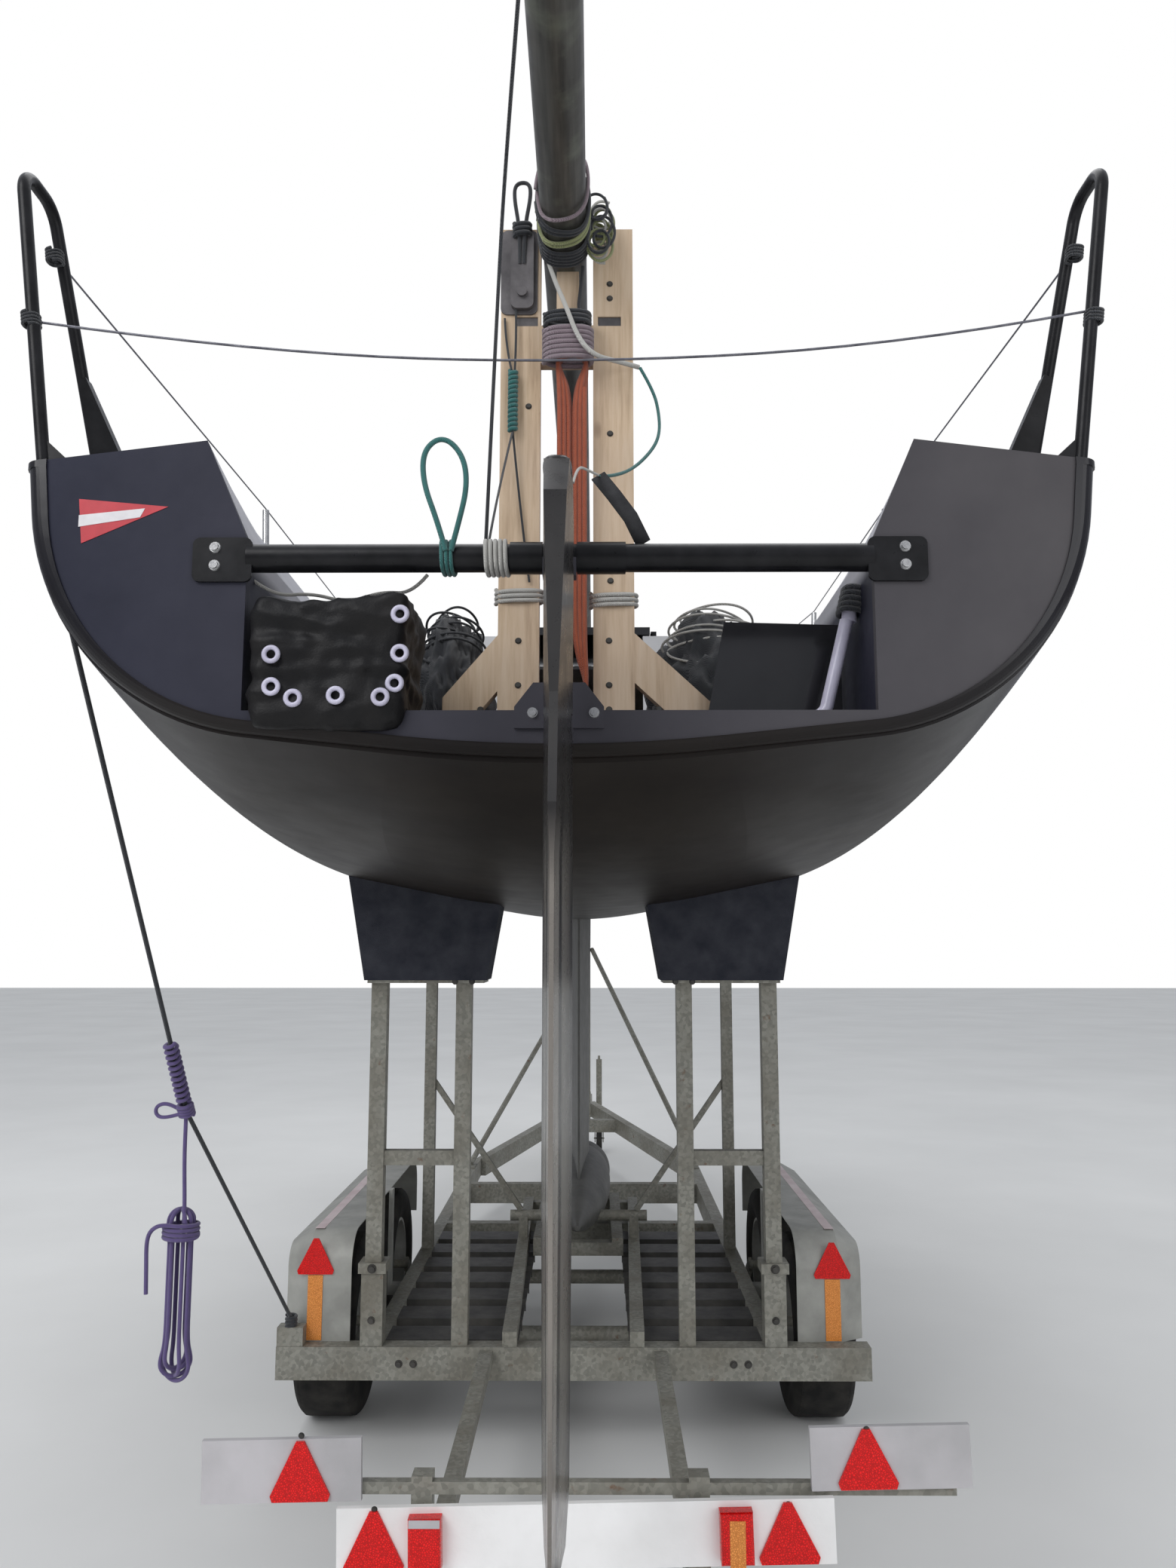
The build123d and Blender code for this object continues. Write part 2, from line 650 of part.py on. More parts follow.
def make_cross_bar():
    """The tube across the open stern, with its clamp sleeves and end flanges."""
    reach = COCKPIT_HALF - 0.3
    bar = rod((-reach, BAR_Y, BAR_Z), (reach, BAR_Y, BAR_Z), BAR_DIAMETER)
    for start, end in SLEEVE_SPANS:
        bar = bar + rod((start, BAR_Y, BAR_Z), (end, BAR_Y, BAR_Z), SLEEVE_DIAMETER)
    middle, wide, high = sum(FLANGE_SPAN) / 2, FLANGE_SPAN[1] - FLANGE_SPAN[0], FLANGE_Z[1] - FLANGE_Z[0]
    for side in (-1, 1):
        plane = Plane(origin=at(side * middle, TRANSOM_INSET - FLANGE_WALL, sum(FLANGE_Z) / 2),
                      x_dir=(-1, 0, 0), z_dir=(0, 1, 0))
        bar = bar + extrude(plane * RectangleRounded(wide, high, 16), FLANGE_WALL)
    return bar


PUSHPIT_FEET_Y = (50.0, 400.0)
PUSHPIT_TOP_Y = (50.0, 205.0)
PUSHPIT_FOOT_X = 1147.0
PUSHPIT_LEAN = 96.0
WEDGE_TOP_Z = 3125.0


def leg_x(z, foot_z):
    """The legs lean outboard from the foot to the top."""
    return PUSHPIT_FOOT_X + PUSHPIT_LEAN * (z - foot_z) / (RAIL_TOP_Z - foot_z)


def make_pushpit(side):
    """Inverted U of black tube with a gusset at one foot and a wedge sleeve at the other."""
    foot = sheer_z(0.0) + 4.0
    top = PUSHPIT_FOOT_X + PUSHPIT_LEAN
    path = [(side * PUSHPIT_FOOT_X, PUSHPIT_FEET_Y[0], foot), (side * top, PUSHPIT_TOP_Y[0], RAIL_TOP_Z),
            (side * top, PUSHPIT_TOP_Y[1], RAIL_TOP_Z), (side * PUSHPIT_FOOT_X, PUSHPIT_FEET_Y[1], foot)]
    tube = bent_tube(path, [60, 60], RAIL_DIAMETER)
    gusset = [(PUSHPIT_FOOT_X, foot), (PUSHPIT_FOOT_X - 86, foot), (leg_x(foot + 90, foot), foot + 90)]
    wedge = [(PUSHPIT_FOOT_X, foot), (PUSHPIT_FOOT_X - 115, foot), (leg_x(WEDGE_TOP_Z, foot) - 14, WEDGE_TOP_Z),
             (leg_x(WEDGE_TOP_Z, foot) + 6, WEDGE_TOP_Z - 8)]
    slope = (PUSHPIT_FEET_Y[1] - PUSHPIT_TOP_Y[1]) / (RAIL_TOP_Z - foot)
    for points, y, thick, rake in ((gusset, PUSHPIT_FEET_Y[0], 10.0, 0.0), (wedge, PUSHPIT_FEET_Y[1], 38.0, slope)):
        corners = [Vector(*at(side * x, y - thick / 2 - rake * (z - foot), z)) for x, z in points]
        plate = extrude(Face(Wire.make_polygon(corners, close=True)), thick, dir=(0, 1, 0))
        tube = tube + plate
    return tube - DECK_OUTER


def make_stanchions():
    rows = (
        # from transom, half width at the foot
        (1900.0, 1170.0),
        (3400.0, 1175.0),
        (4900.0, 1000.0),
    )
    posts = []
    for y, x in rows:
        for side in (-1, 1):
            foot = sheer_z(y) + 8
            post = rod((side * x, y, foot), (side * (x + 20), y, foot + 610), 25.0)
            base = rod((side * x, y, foot), (side * x, y, foot + 30), 60.0)
            posts.append((post + base) - DECK_OUTER)
    return group(posts)


def make_pulpit():
    z = sheer_z(7000.0)
    top = MAST_UNDER_Z - 30
    right = [(330, 6800, z), (330, 6830, top), (60, 7420, top), (-60, 7420, top), (-330, 6830, top), (-330, 6800, z)]
    hoop = bent_tube(right, [60, 50, 50, 60], 25.0)
    return hoop - DECK_OUTER


def mast_profile(width, depth):
    face = Rectangle(width, depth - width) + Pos(0, (depth - width) / 2) * Circle(width / 2)
    return face + Pos(0, -(depth - width) / 2) * Circle(width / 2)


GROOVE_WIDTH = 12.0
GROOVE_DEPTH = 22.0


def make_mast():
    """Mast extrusion with its sail groove along the upper face."""
    z = MAST_UNDER_Z + MAST_DEPTH / 2
    plane = Plane(origin=at(0, MAST_AFT_Y, z), x_dir=(1, 0, 0), z_dir=(0, 1, 0))
    outer = extrude(plane * mast_profile(MAST_WIDTH, MAST_DEPTH), MAST_LENGTH)
    groove = block(-GROOVE_WIDTH / 2, GROOVE_WIDTH / 2, MAST_AFT_Y + 60, MAST_AFT_Y + MAST_LENGTH - 60,
                   z + MAST_DEPTH / 2 - GROOVE_DEPTH, z + MAST_DEPTH)
    return outer - groove


CHOCK = (-20.0, 36.0)
CHOCK_UNDER_Z = 3285.0
SLOT_ROWS = (
    # start x, end x
    (-125.0, -67.0),
    (84.0, 142.0),
)
SLOT_Z = (3283.0, 3308.0)
BRACE_ROWS = (
    # foot x, head x, at the sole and at the upright
    (-292.0, -110.0),
    (353.0, 122.0),
)
BRACE_RISE = 235.0


def make_crutch():
    """Two pine uprights, raking braces, a bearer and the chock under the mast."""
    y0, y1 = CRUTCH_Y - PLANK_THICK / 2, CRUTCH_Y + PLANK_THICK / 2
    left = block(UPRIGHT_LEFT - PLANK_WIDTH, UPRIGHT_LEFT, y0, y1, SOLE_Z, CRUTCH_TOP_Z)
    right = block(UPRIGHT_RIGHT, UPRIGHT_RIGHT + PLANK_WIDTH, y0, y1, SOLE_Z, CRUTCH_TOP_Z)
    bearer = block(UPRIGHT_LEFT, UPRIGHT_RIGHT, y0, y1, CHOCK_UNDER_Z - PLANK_WIDTH, CHOCK_UNDER_Z)
    chock = block(CHOCK[0], CHOCK[1], y0, y1, CHOCK_UNDER_Z, MAST_UNDER_Z)
    tie = block(UPRIGHT_LEFT, UPRIGHT_RIGHT, y0, y1, SOLE_Z, SOLE_Z + PLANK_WIDTH)
    frame = joined([left, right, bearer, chock, tie])
    for foot, head in BRACE_ROWS:
        rise = BRACE_RISE * 1.2
        brace = square_bar((foot * 1.2, CRUTCH_Y, SOLE_Z - 40), (head, CRUTCH_Y, SOLE_Z + rise - 40),
                           PLANK_WIDTH * 0.9, PLANK_THICK)
        frame = frame + brace
    for start, end in SLOT_ROWS:
        frame = frame - block(start, end, y0 - 5, y1 + 5, SLOT_Z[0], SLOT_Z[1])
    limit = block(BRACE_ROWS[0][0], BRACE_ROWS[1][0], 0, 1000, SOLE_Z, CRUTCH_TOP_Z)
    return frame & limit


BRACKET = (-161.0, -68.0)
BRACKET_Z = (3312.0, 3540.0)


def make_crutch_fittings():
    """A galvanised sheave bracket on the left upright and the dark bars in both slots."""
    face_y = CRUTCH_Y - PLANK_THICK / 2
    wide, high = BRACKET[1] - BRACKET[0], BRACKET_Z[1] - BRACKET_Z[0]
    middle, z = sum(BRACKET) / 2, sum(BRACKET_Z) / 2

    def plate(width, height, shift, start, thick):
        plane = Plane(origin=at(middle + shift, start, z), x_dir=(-1, 0, 0), z_dir=(0, 1, 0))
        return extrude(plane * RectangleRounded(width, height, 18), thick)

    bracket = plate(wide, high, 0.0, face_y - 5, 5.0) + plate(wide * 0.62, high * 0.92, 8.0, face_y - 20, 15.0)
    bracket = bracket + rod((middle + 8, face_y - 28, z - high * 0.28), (middle + 8, face_y - 15, z - high * 0.28), 24.0)
    bars = [block(start + 0.5, end - 0.5, face_y + 4, face_y + PLANK_THICK + 8, SLOT_Z[0] + 0.5, SLOT_Z[1] - 0.5)
            for start, end in SLOT_ROWS]
    return group([bracket] + bars)


def make_bow_prop():
    y = 7050.0
    z = sheer_z(y) + 30
    plank = block(-22, 22, y - 70, y + 70, z - 60, MAST_UNDER_Z)
    return plank - DECK_OUTER


BAG_SPAN = (-660.0, -316.0)
BAG_TOP_Z = 2517.0
BAG_HANG_Z = 2178.0
SOFT_GAP = 0.3


def make_bag():
    """A soft bag that sits on the sole and sags out over the sill."""
    body = block(BAG_SPAN[0], BAG_SPAN[1], -42.0, 236.0, SOLE_Z + SOFT_GAP, BAG_TOP_Z)
    lip = block(BAG_SPAN[0], BAG_SPAN[1], -42.0, -SOFT_GAP, BAG_HANG_Z, BAG_TOP_Z - 120)
    bag = body + lip
    rims = [e for e in bag.edges() if e.center().Y < at(0, -41, 0)[1] or e.center().Z > BAG_TOP_Z - 1]
    return fillet(rims, 26)


HEAP_ROWS = (
    # start x, end x, start y, end y, top z
    (-430.0, -172.0, 450.0, 800.0, 2640.0),
    (186.0, 600.0, 470.0, 820.0, 2655.0),
)


def make_rope_heaps():
    """Two heaps of sheets and halyards beside the crutch, as plain mounds."""
    heaps = []
    for x0, x1, y0, y1, top in HEAP_ROWS:
        low = SOLE_Z + SOFT_GAP
        foot = Plane(origin=at((x0 + x1) / 2, (y0 + y1) / 2, low)) * RectangleRounded(x1 - x0, y1 - y0, 80)
        heaps.append(extrude(foot, top - low, taper=9))
    return group(heaps)


HANK_MID_X = 20.0
HANK_WIDTH = 76.0
HANK_DEPTH = 46.0
HANK_Z = (2318.0, 3205.0)


def make_halyard_hank():
    """The outer shape of the long hank of rope that hangs between the uprights."""
    y = CRUTCH_Y - PLANK_THICK / 2 - HANK_DEPTH / 2 - SOFT_GAP
    plane = Plane(origin=at(HANK_MID_X, y, HANK_Z[0]))
    return extrude(plane * RectangleRounded(HANK_WIDTH, HANK_DEPTH, HANK_DEPTH * 0.45), HANK_Z[1] - HANK_Z[0])


WASHBOARD_Y = 300.0
WASHBOARD_WALL = 15.0
TUBE_Y = 165.0


def make_washboard():
    """The companionway's washboard, stowed on edge near the open stern."""
    low, high = SOLE_Z, 2505.0
    points = [(335.0, low), (385.0, high), (662.0, high - 8), (662.0, low)]
    return extrude(Face(polygon_wire(points, WASHBOARD_Y)), WASHBOARD_WALL, dir=(0, 1, 0))


TUBE_DIAMETER = 30.0
TUBE_TOP_Z = 2470.0
TUBE_ENDS = (418.0, 592.0, 648.0)


def make_stowed_tube():
    """A bent pale tube with a dark knob, laid against the cockpit's side."""
    low = SOLE_Z + TUBE_DIAMETER / 2 + SOFT_GAP
    start, bend, top = TUBE_ENDS
    corners = [(top, TUBE_Y, TUBE_TOP_Z), (bend, TUBE_Y, low), (start, TUBE_Y, low)]
    tube = bent_tube(corners, [34], TUBE_DIAMETER)
    knob = Pos(*at(top + 7, TUBE_Y + 4, TUBE_TOP_Z + 28)) * Cylinder(17, 62)
    return tube + knob


# Trailer

CROSS_BEAM_ROWS = (3660.0, 4620.0)
CROSS_BEAM_DEPTH = 60.0
LASH_POST_HEIGHT = 62.0


def make_chassis():
    """The welded frame: two side rails, the wide rear beam and two cross beams."""
    top = BEAM_UNDER_Z + BEAM_HEIGHT
    depth = BEAM_DEPTH / 2
    frame = block(-BEAM_HALF, BEAM_HALF, BEAM_REAR_Y - depth, BEAM_REAR_Y + depth, BEAM_UNDER_Z, top)
    for side in (-1, 1):
        frame = frame + block(side * (RAIL_X - RAIL_WIDTH / 2), side * (RAIL_X + RAIL_WIDTH / 2),
                              BEAM_REAR_Y, RAIL_FRONT_Y, BEAM_UNDER_Z, top)
    for y in CROSS_BEAM_ROWS:
        depth = CROSS_BEAM_DEPTH / 2
        frame = frame + block(-RAIL_X, RAIL_X, y - depth, y + depth, BEAM_UNDER_Z, top)
    post_top = top + LASH_POST_HEIGHT
    lashing_post = block(-BEAM_HALF, -BEAM_HALF + 90, BEAM_REAR_Y - 30, BEAM_REAR_Y + 24, top, post_top)
    return frame + lashing_post


def make_drawbar():
    z = BEAM_UNDER_Z + BEAM_HEIGHT / 2
    reach = RAIL_X - 30
    left = square_bar((-reach, RAIL_FRONT_Y, z), (-45, COUPLING_Y - 800, z + 60), 60, BEAM_HEIGHT)
    right = square_bar((reach, RAIL_FRONT_Y, z), (45, COUPLING_Y - 800, z + 60), 60, BEAM_HEIGHT)
    tongue = block(-50, 50, COUPLING_Y - 900, COUPLING_Y - 180, z, z + 100)
    return joined([left, right, tongue]) - block(-800, 800, 5000, RAIL_FRONT_Y + 0.01, 0, 900)


def make_coupling():
    z = BEAM_UNDER_Z + BEAM_HEIGHT / 2 + 50
    shaft = rod((0, COUPLING_Y - 180, z), (0, COUPLING_Y - 40, z), 60.0)
    head = block(-38, 38, COUPLING_Y - 90, COUPLING_Y + 38, z - 30, z + 42)
    bore = rod((0, COUPLING_Y, z - 31), (0, COUPLING_Y, z + 10), BALL_DIAMETER + 2 * BALL_GAP)
    return shaft + head - bore


def make_jockey_leg():
    y = COUPLING_Y - 700
    z = BEAM_UNDER_Z + BEAM_HEIGHT / 2 + 50
    tube = rod((110, y, 235), (110, y, 760), 48.0)
    clamp = block(50, 90, y - 40, y + 40, z - 40, z + 40)
    crank = rod((110, y, 760), (110, y, 790), 20.0)
    fork = block(72, 80, y - 30, y + 30, 80, 245) + block(140, 148, y - 30, y + 30, 80, 245) + block(
        72, 148, y - 30, y + 30, 235, 250)
    pin = rod((66, y, 110), (154, y, 110), 12.0)
    return joined([tube, clamp, crank, fork, pin])


def make_jockey_wheel():
    y = COUPLING_Y - 700
    disc = rod((86, y, 110), (134, y, 110), 220.0)
    bore = rod((60, y, 110), (160, y, 110), 12.6)
    return disc - bore


def axle_places():
    return (AXLE_REAR_Y, AXLE_REAR_Y + AXLE_GAP)


def make_axle(y):
    z = WHEEL_RADIUS
    reach = TRACK_HALF - TYRE_WIDTH / 2 - 12
    tube = rod((-reach, y + 150, 225), (reach, y + 150, 225), AXLE_TUBE)
    arms = []
    for side in (-1, 1):
        x = side * (reach - 6)
        arms.append(square_bar((x, y + 150, 225), (x, y, z), 14, 60))
        arms.append(rod((side * (reach - 13), y, z), (side * (TRACK_HALF + 40), y, z), 36.0))
    saddle = [block(side * (RAIL_X - 40), side * (RAIL_X + 30), y + 120, y + 180, 225, BEAM_UNDER_Z)
              for side in (-1, 1)]
    return joined([tube] + arms + saddle)


WHEELS = (
    # name, side, from transom
    ("rear_port", -1, AXLE_REAR_Y),
    ("rear_starboard", 1, AXLE_REAR_Y),
    ("front_port", -1, AXLE_REAR_Y + AXLE_GAP),
    ("front_starboard", 1, AXLE_REAR_Y + AXLE_GAP),
)
RIM_RADIUS = 195.0


TYRE_SHOULDER = 36.0
BEAD_INSET = 16.0


def make_tyre(side, y):
    """Tyre section: a nearly flat tread, round shoulders and bulging walls, turned about the axle."""
    half, x = TYRE_WIDTH / 2, side * TRACK_HALF
    flat = half - TYRE_SHOULDER
    bead = half - BEAD_INSET
    wall_z = (WHEEL_RADIUS - TYRE_SHOULDER + RIM_RADIUS) / 2

    def place(across, radius):
        return Vector(*at(x + across, y, WHEEL_RADIUS + radius))

    turn = TYRE_SHOULDER * (1 - math.sqrt(0.5))
    edges = [
        Edge.make_line(place(-flat, WHEEL_RADIUS), place(flat, WHEEL_RADIUS)),
        Edge.make_three_point_arc(place(flat, WHEEL_RADIUS), place(half - turn, WHEEL_RADIUS - turn),
                                  place(half, WHEEL_RADIUS - TYRE_SHOULDER)),
        Edge.make_three_point_arc(place(half, WHEEL_RADIUS - TYRE_SHOULDER), place(half - 1, wall_z),
                                  place(bead, RIM_RADIUS)),
        Edge.make_line(place(bead, RIM_RADIUS), place(-bead, RIM_RADIUS)),
        Edge.make_three_point_arc(place(-bead, RIM_RADIUS), place(-half + 1, wall_z),
                                  place(-half, WHEEL_RADIUS - TYRE_SHOULDER)),
        Edge.make_three_point_arc(place(-half, WHEEL_RADIUS - TYRE_SHOULDER), place(-half + turn, WHEEL_RADIUS - turn),
                                  place(-flat, WHEEL_RADIUS)),
    ]
    return revolve(Face(Wire(edges)), axis=Axis(at(0, y, WHEEL_RADIUS), (1, 0, 0)))


RIM_SLOTS = 8
RIM_SLOT_DIAMETER = 34.0
DISH_OFFSET = 30.0
DISH_WALL = 12.0
HUB_DIAMETER = 110.0
SPINDLE_DIAMETER = 36.0
SPINDLE_GAP = 0.3


def make_rim(side, y):
    """Steel wheel: a barrel, a dished disc with round slots, and the hub."""
    x = side * TRACK_HALF
    half = TYRE_WIDTH / 2 - BEAD_INSET

    def disc(start, end, diameter):
        return rod((x + side * start, y, WHEEL_RADIUS), (x + side * end, y, WHEEL_RADIUS), diameter)

    wheel = disc(-half, half, 2 * RIM_RADIUS) - disc(-half - 1, DISH_OFFSET, 2 * RIM_RADIUS - 24)
    wheel = wheel - disc(DISH_OFFSET + DISH_WALL, half + 1, 2 * RIM_RADIUS - 24)
    for number in range(RIM_SLOTS):
        angle = 2 * math.pi * number / RIM_SLOTS
        dy, dz = 138.0 * math.cos(angle), 138.0 * math.sin(angle)
        wheel = wheel - rod((x, y + dy, WHEEL_RADIUS + dz), (x + side * half, y + dy, WHEEL_RADIUS + dz),
                            RIM_SLOT_DIAMETER)
    wheel = wheel + disc(-60, half - 8, HUB_DIAMETER)
    return wheel - disc(-130, 60, SPINDLE_DIAMETER + 2 * SPINDLE_GAP)


GUARD_INNER_X = 782.0
GUARD_SHOULDER_X = 934.0
GUARD_OUTER_X = 1016.0
GUARD_BEVEL = 45.0
GUARD_BRACKET_WALL = 14.0
GUARD_TOP_Z = 722.0
GUARD_WALL = 3.0
GUARD_BEND = 120.0
GUARD_LIP = 42.0
GUARD_FRONT_Z = 470.0


def guard_arch(inset, x, foot_rear, foot_front):
    """One arch line over both wheels: two legs, two bends and the level top."""
    y0 = BEAM_REAR_Y + 26.0 + inset
    y1 = AXLE_REAR_Y + AXLE_GAP + WHEEL_RADIUS + 48.0 - inset
    top, bend = GUARD_TOP_Z - inset, GUARD_BEND - inset
    turn = bend * (1 - math.sqrt(0.5))

    def place(y, z):
        return Vector(*at(x, y, z))

    return [
        Edge.make_line(place(y0, foot_rear), place(y0, top - bend)),
        Edge.make_three_point_arc(place(y0, top - bend), place(y0 + turn, top - turn), place(y0 + bend, top)),
        Edge.make_line(place(y0 + bend, top), place(y1 - bend, top)),
        Edge.make_three_point_arc(place(y1 - bend, top), place(y1 - turn, top - turn), place(y1, top - bend)),
        Edge.make_line(place(y1, top - bend), place(y1, foot_front)),
    ]


def arch_face(start, end, x):
    """The strip between the arches moved in by start and by end."""
    beam_top = BEAM_UNDER_Z + BEAM_HEIGHT
    outer = guard_arch(start, x, beam_top, GUARD_FRONT_Z)
    inner = guard_arch(end, x, beam_top, GUARD_FRONT_Z)
    rear = Edge.make_line(outer[0] @ 0, inner[0] @ 0)
    front = Edge.make_line(outer[-1] @ 1, inner[-1] @ 1)
    return Face(Wire(outer + inner + [rear, front]))


def make_mudguard(side):
    """Folded guard over both wheels: a bevelled outer flank with a lip, and a bracket to the side rail."""
    inner, shoulder, outer = side * GUARD_INNER_X, side * GUARD_SHOULDER_X, side * GUARD_OUTER_X
    skin = extrude(arch_face(0.0, GUARD_WALL, inner), GUARD_SHOULDER_X - GUARD_INNER_X, dir=(side, 0, 0))
    edges = [arch_face(0.0, GUARD_WALL, shoulder), arch_face(GUARD_BEVEL, GUARD_BEVEL + GUARD_WALL, outer)]
    flank = Solid.make_loft([face.outer_wire() for face in edges], ruled=True)
    lip = extrude(arch_face(GUARD_BEVEL, GUARD_BEVEL + GUARD_LIP, outer), GUARD_WALL, dir=(-side, 0, 0))
    y = AXLE_REAR_Y + AXLE_GAP / 2
    rail_side = side * (RAIL_X + RAIL_WIDTH / 2)
    foot, wall = BEAM_UNDER_Z + 50, side * GUARD_BRACKET_WALL
    seat_top = GUARD_TOP_Z - GUARD_WALL
    arm = block(rail_side, inner, y - 25, y + 25, foot, foot + 40)
    stay = block(inner - wall, inner, y - 25, y + 25, foot, GUARD_TOP_Z)
    seat = block(inner - wall, inner + side * 60, y - 25, y + 25, seat_top - 6, seat_top)
    return skin + flank + lip + arm + stay + seat


COLLAR_SIZE = 96.0
COLLAR_HEIGHT = 34.0


def support_post(x, y, foot_z):
    """A square leg that slides in its sleeve and is clamped by a collar."""

    def column(size, low, high):
        return block(x - size / 2, x + size / 2, y - size / 2, y + size / 2, low, high)

    sleeve = column(SLEEVE_SIZE, foot_z, SLEEVE_TOP_Z)
    collar = column(COLLAR_SIZE, SLEEVE_TOP_Z - COLLAR_HEIGHT, SLEEVE_TOP_Z)
    return sleeve + collar + column(POST_SIZE, SLEEVE_TOP_Z, PAD_UNDER_Z - PAD_PLATE_WALL)


TOWER_Y = BEAM_REAR_Y + 10.0
TOWER_TIE_Z = (965.0, 1015.0)
PAD_PLATE_WALL = 10.0
PAD_PLATE_EDGE = 10.0


def make_rear_tower(side):
    """Two legs, the tie between them and the pad's plate."""
    foot = BEAM_UNDER_Z + BEAM_HEIGHT
    outer = support_post(side * POST_OUTER_X, TOWER_Y, foot)
    half = POST_SIZE / 2
    top = PAD_UNDER_Z - PAD_PLATE_WALL
    inner_x, outer_x = side * POST_INNER_X, side * POST_OUTER_X
    inner = block(inner_x - half, inner_x + half, TOWER_Y - half, TOWER_Y + half, foot, top)
    tie = block(inner_x, outer_x, TOWER_Y - 20, TOWER_Y + 20, *TOWER_TIE_Z)
    pad_inner, pad_outer, thick = REAR_PAD
    reach = thick / 2 - PAD_PLATE_EDGE
    plate = block(side * (pad_inner + PAD_PLATE_EDGE), side * (pad_outer - PAD_PLATE_EDGE), TOWER_Y - reach,
                  TOWER_Y + reach, top, PAD_UNDER_Z)
    return joined([outer, inner, tie, plate])


def make_pad(y, sizes):
    """A hull pad: its sides flare upward and its top follows the bottom of the hull."""
    inner, outer, thick = sizes
    lean = PAD_FLARE * (PAD_CROWN_Z - PAD_UNDER_Z)
    outline = [(inner, PAD_UNDER_Z), (outer, PAD_UNDER_Z)]
    outline += [(outer + lean, PAD_CROWN_Z), (inner - lean, PAD_CROWN_Z)]
    face = Face(polygon_wire(outline, y - thick / 2))
    return extrude(face, thick, dir=(0, 1, 0)) - HULL_OUTER


FORWARD_POST_SIZE = 50.0
CRADLE_BAR_Y = 3160.0
CRADLE_BAR_Z = 507.0
CRADLE_BAR_ENDS = (77.0, 312.0)
CRADLE_BAR_DIAMETER = 48.0


def cradle_bar(side):
    start, end = CRADLE_BAR_ENDS
    places = [(side * x, CRADLE_BAR_Y, CRADLE_BAR_Z) for x in (start, end)]
    return rod(*places, CRADLE_BAR_DIAMETER)


def make_forward_tower(side):
    """One leg on the side rail, the pad's plate and a strut down to the keel cradle's bar."""
    foot = BEAM_UNDER_Z + BEAM_HEIGHT
    top = PAD_UNDER_Z - PAD_PLATE_WALL
    half = FORWARD_POST_SIZE / 2
    y = FORWARD_POST_Y
    post = block(side * (RAIL_X - half), side * (RAIL_X + half), y - half, y + half, foot, top)
    inner, outer, thick = FORWARD_PAD
    reach = thick / 2 - PAD_PLATE_EDGE
    plate = block(side * (inner + PAD_PLATE_EDGE), side * (outer - PAD_PLATE_EDGE), y - reach, y + reach, top,
                  PAD_UNDER_Z)
    bar_end = CRADLE_BAR_ENDS[1] - CRADLE_BAR_DIAMETER
    foot_z = CRADLE_BAR_Z + CRADLE_BAR_DIAMETER / 2
    ends = (side * bar_end, CRADLE_BAR_Y, foot_z), (side * RAIL_X, y, STRUT_HEAD_Z)
    strut = square_bar(*ends, STRUT_SIZE, STRUT_SIZE)
    return post + plate + (strut - cradle_bar(side))


INNER_RAIL_ENDS = ((220.0, 1830.0), (272.0, 4000.0))
INNER_RAIL_SIZE = 50.0


def inner_rail(side):
    (x0, y0), (x1, y1) = INNER_RAIL_ENDS
    z = BEAM_UNDER_Z + BEAM_HEIGHT + INNER_RAIL_SIZE / 2
    return square_bar((side * x0, y0, z), (side * x1, y1, z), INNER_RAIL_SIZE, INNER_RAIL_SIZE)


def make_keel_cradle():
    """Bed under the ballast bulb, the two inner rails and the clamps beside the fin."""
    top = BEAM_UNDER_Z + BEAM_HEIGHT
    bed = [block(-200, 200, y - 30, y + 30, top, 420) for y in (KEEL_Y - 450, KEEL_Y + 450)]
    for side in (-1, 1):
        bed.append(block(side * 150, side * 200, KEEL_Y - 480, KEEL_Y + 480, top, 440))
        bed.append(inner_rail(side))
        bed.append(block(side * 150, side * 290, KEEL_Y + 420, KEEL_Y + 480, top, top + 40))
        bed.append(cradle_bar(side))
        half = CRADLE_BAR_DIAMETER / 2
        bed.append(block(side * 232, side * 272, CRADLE_BAR_Y - half, CRADLE_BAR_Y + half, top + 20, CRADLE_BAR_Z))
    return joined(bed) - bulb_body()


SLAT_ROWS = tuple(1980.0 + 235.0 * number for number in range(7))
SLAT_DEPTH = 150.0
SLAT_WALL = 14.0


def make_slats():
    """Tread slats welded between the inner and the side rails, under the inner rails."""
    top = BEAM_UNDER_Z + BEAM_HEIGHT
    slats = []
    for y in SLAT_ROWS:
        for side in (-1, 1):
            inner = INNER_RAIL_ENDS[0][0] - INNER_RAIL_SIZE / 2
            slat = block(side * inner, side * (RAIL_X - RAIL_WIDTH / 2), y - SLAT_DEPTH / 2, y + SLAT_DEPTH / 2,
                         top - SLAT_WALL, top)
            turned = block(side * inner, side * (RAIL_X - RAIL_WIDTH / 2), y - SLAT_DEPTH / 2, y - SLAT_DEPTH / 2 + 4,
                           top - 44, top)
            slats.append(slat + turned)
    return group(slats)


TAIL_RAIL_X = 300.0
TAIL_RAIL_SIZE = 45.0
TAIL_RAIL_Z = 332.0
CARRIER_Z = (556.0, 581.0)
CARRIER_WALL = 22.0


def make_tail_rails():
    """Two rails behind the rear beam with the light boards' carrier across their ends."""
    half = TAIL_RAIL_SIZE / 2
    frame = block(BOARD_SHIFT - GREY_REACH + 30, BOARD_SHIFT + GREY_REACH - 30, BOARD_Y, BOARD_Y + CARRIER_WALL,
                  CARRIER_Z[0] + 8, CARRIER_Z[1] + 8)
    for side in (-1, 1):
        x = side * TAIL_RAIL_X
        frame = frame + block(x - half, x + half, BOARD_Y, BEAM_REAR_Y - BEAM_DEPTH / 2, TAIL_RAIL_Z - half,
                              TAIL_RAIL_Z + half)
        frame = frame + block(x - half, x + half, BOARD_Y, BOARD_Y + TAIL_RAIL_SIZE, TAIL_RAIL_Z - half, 600.0)
    return frame


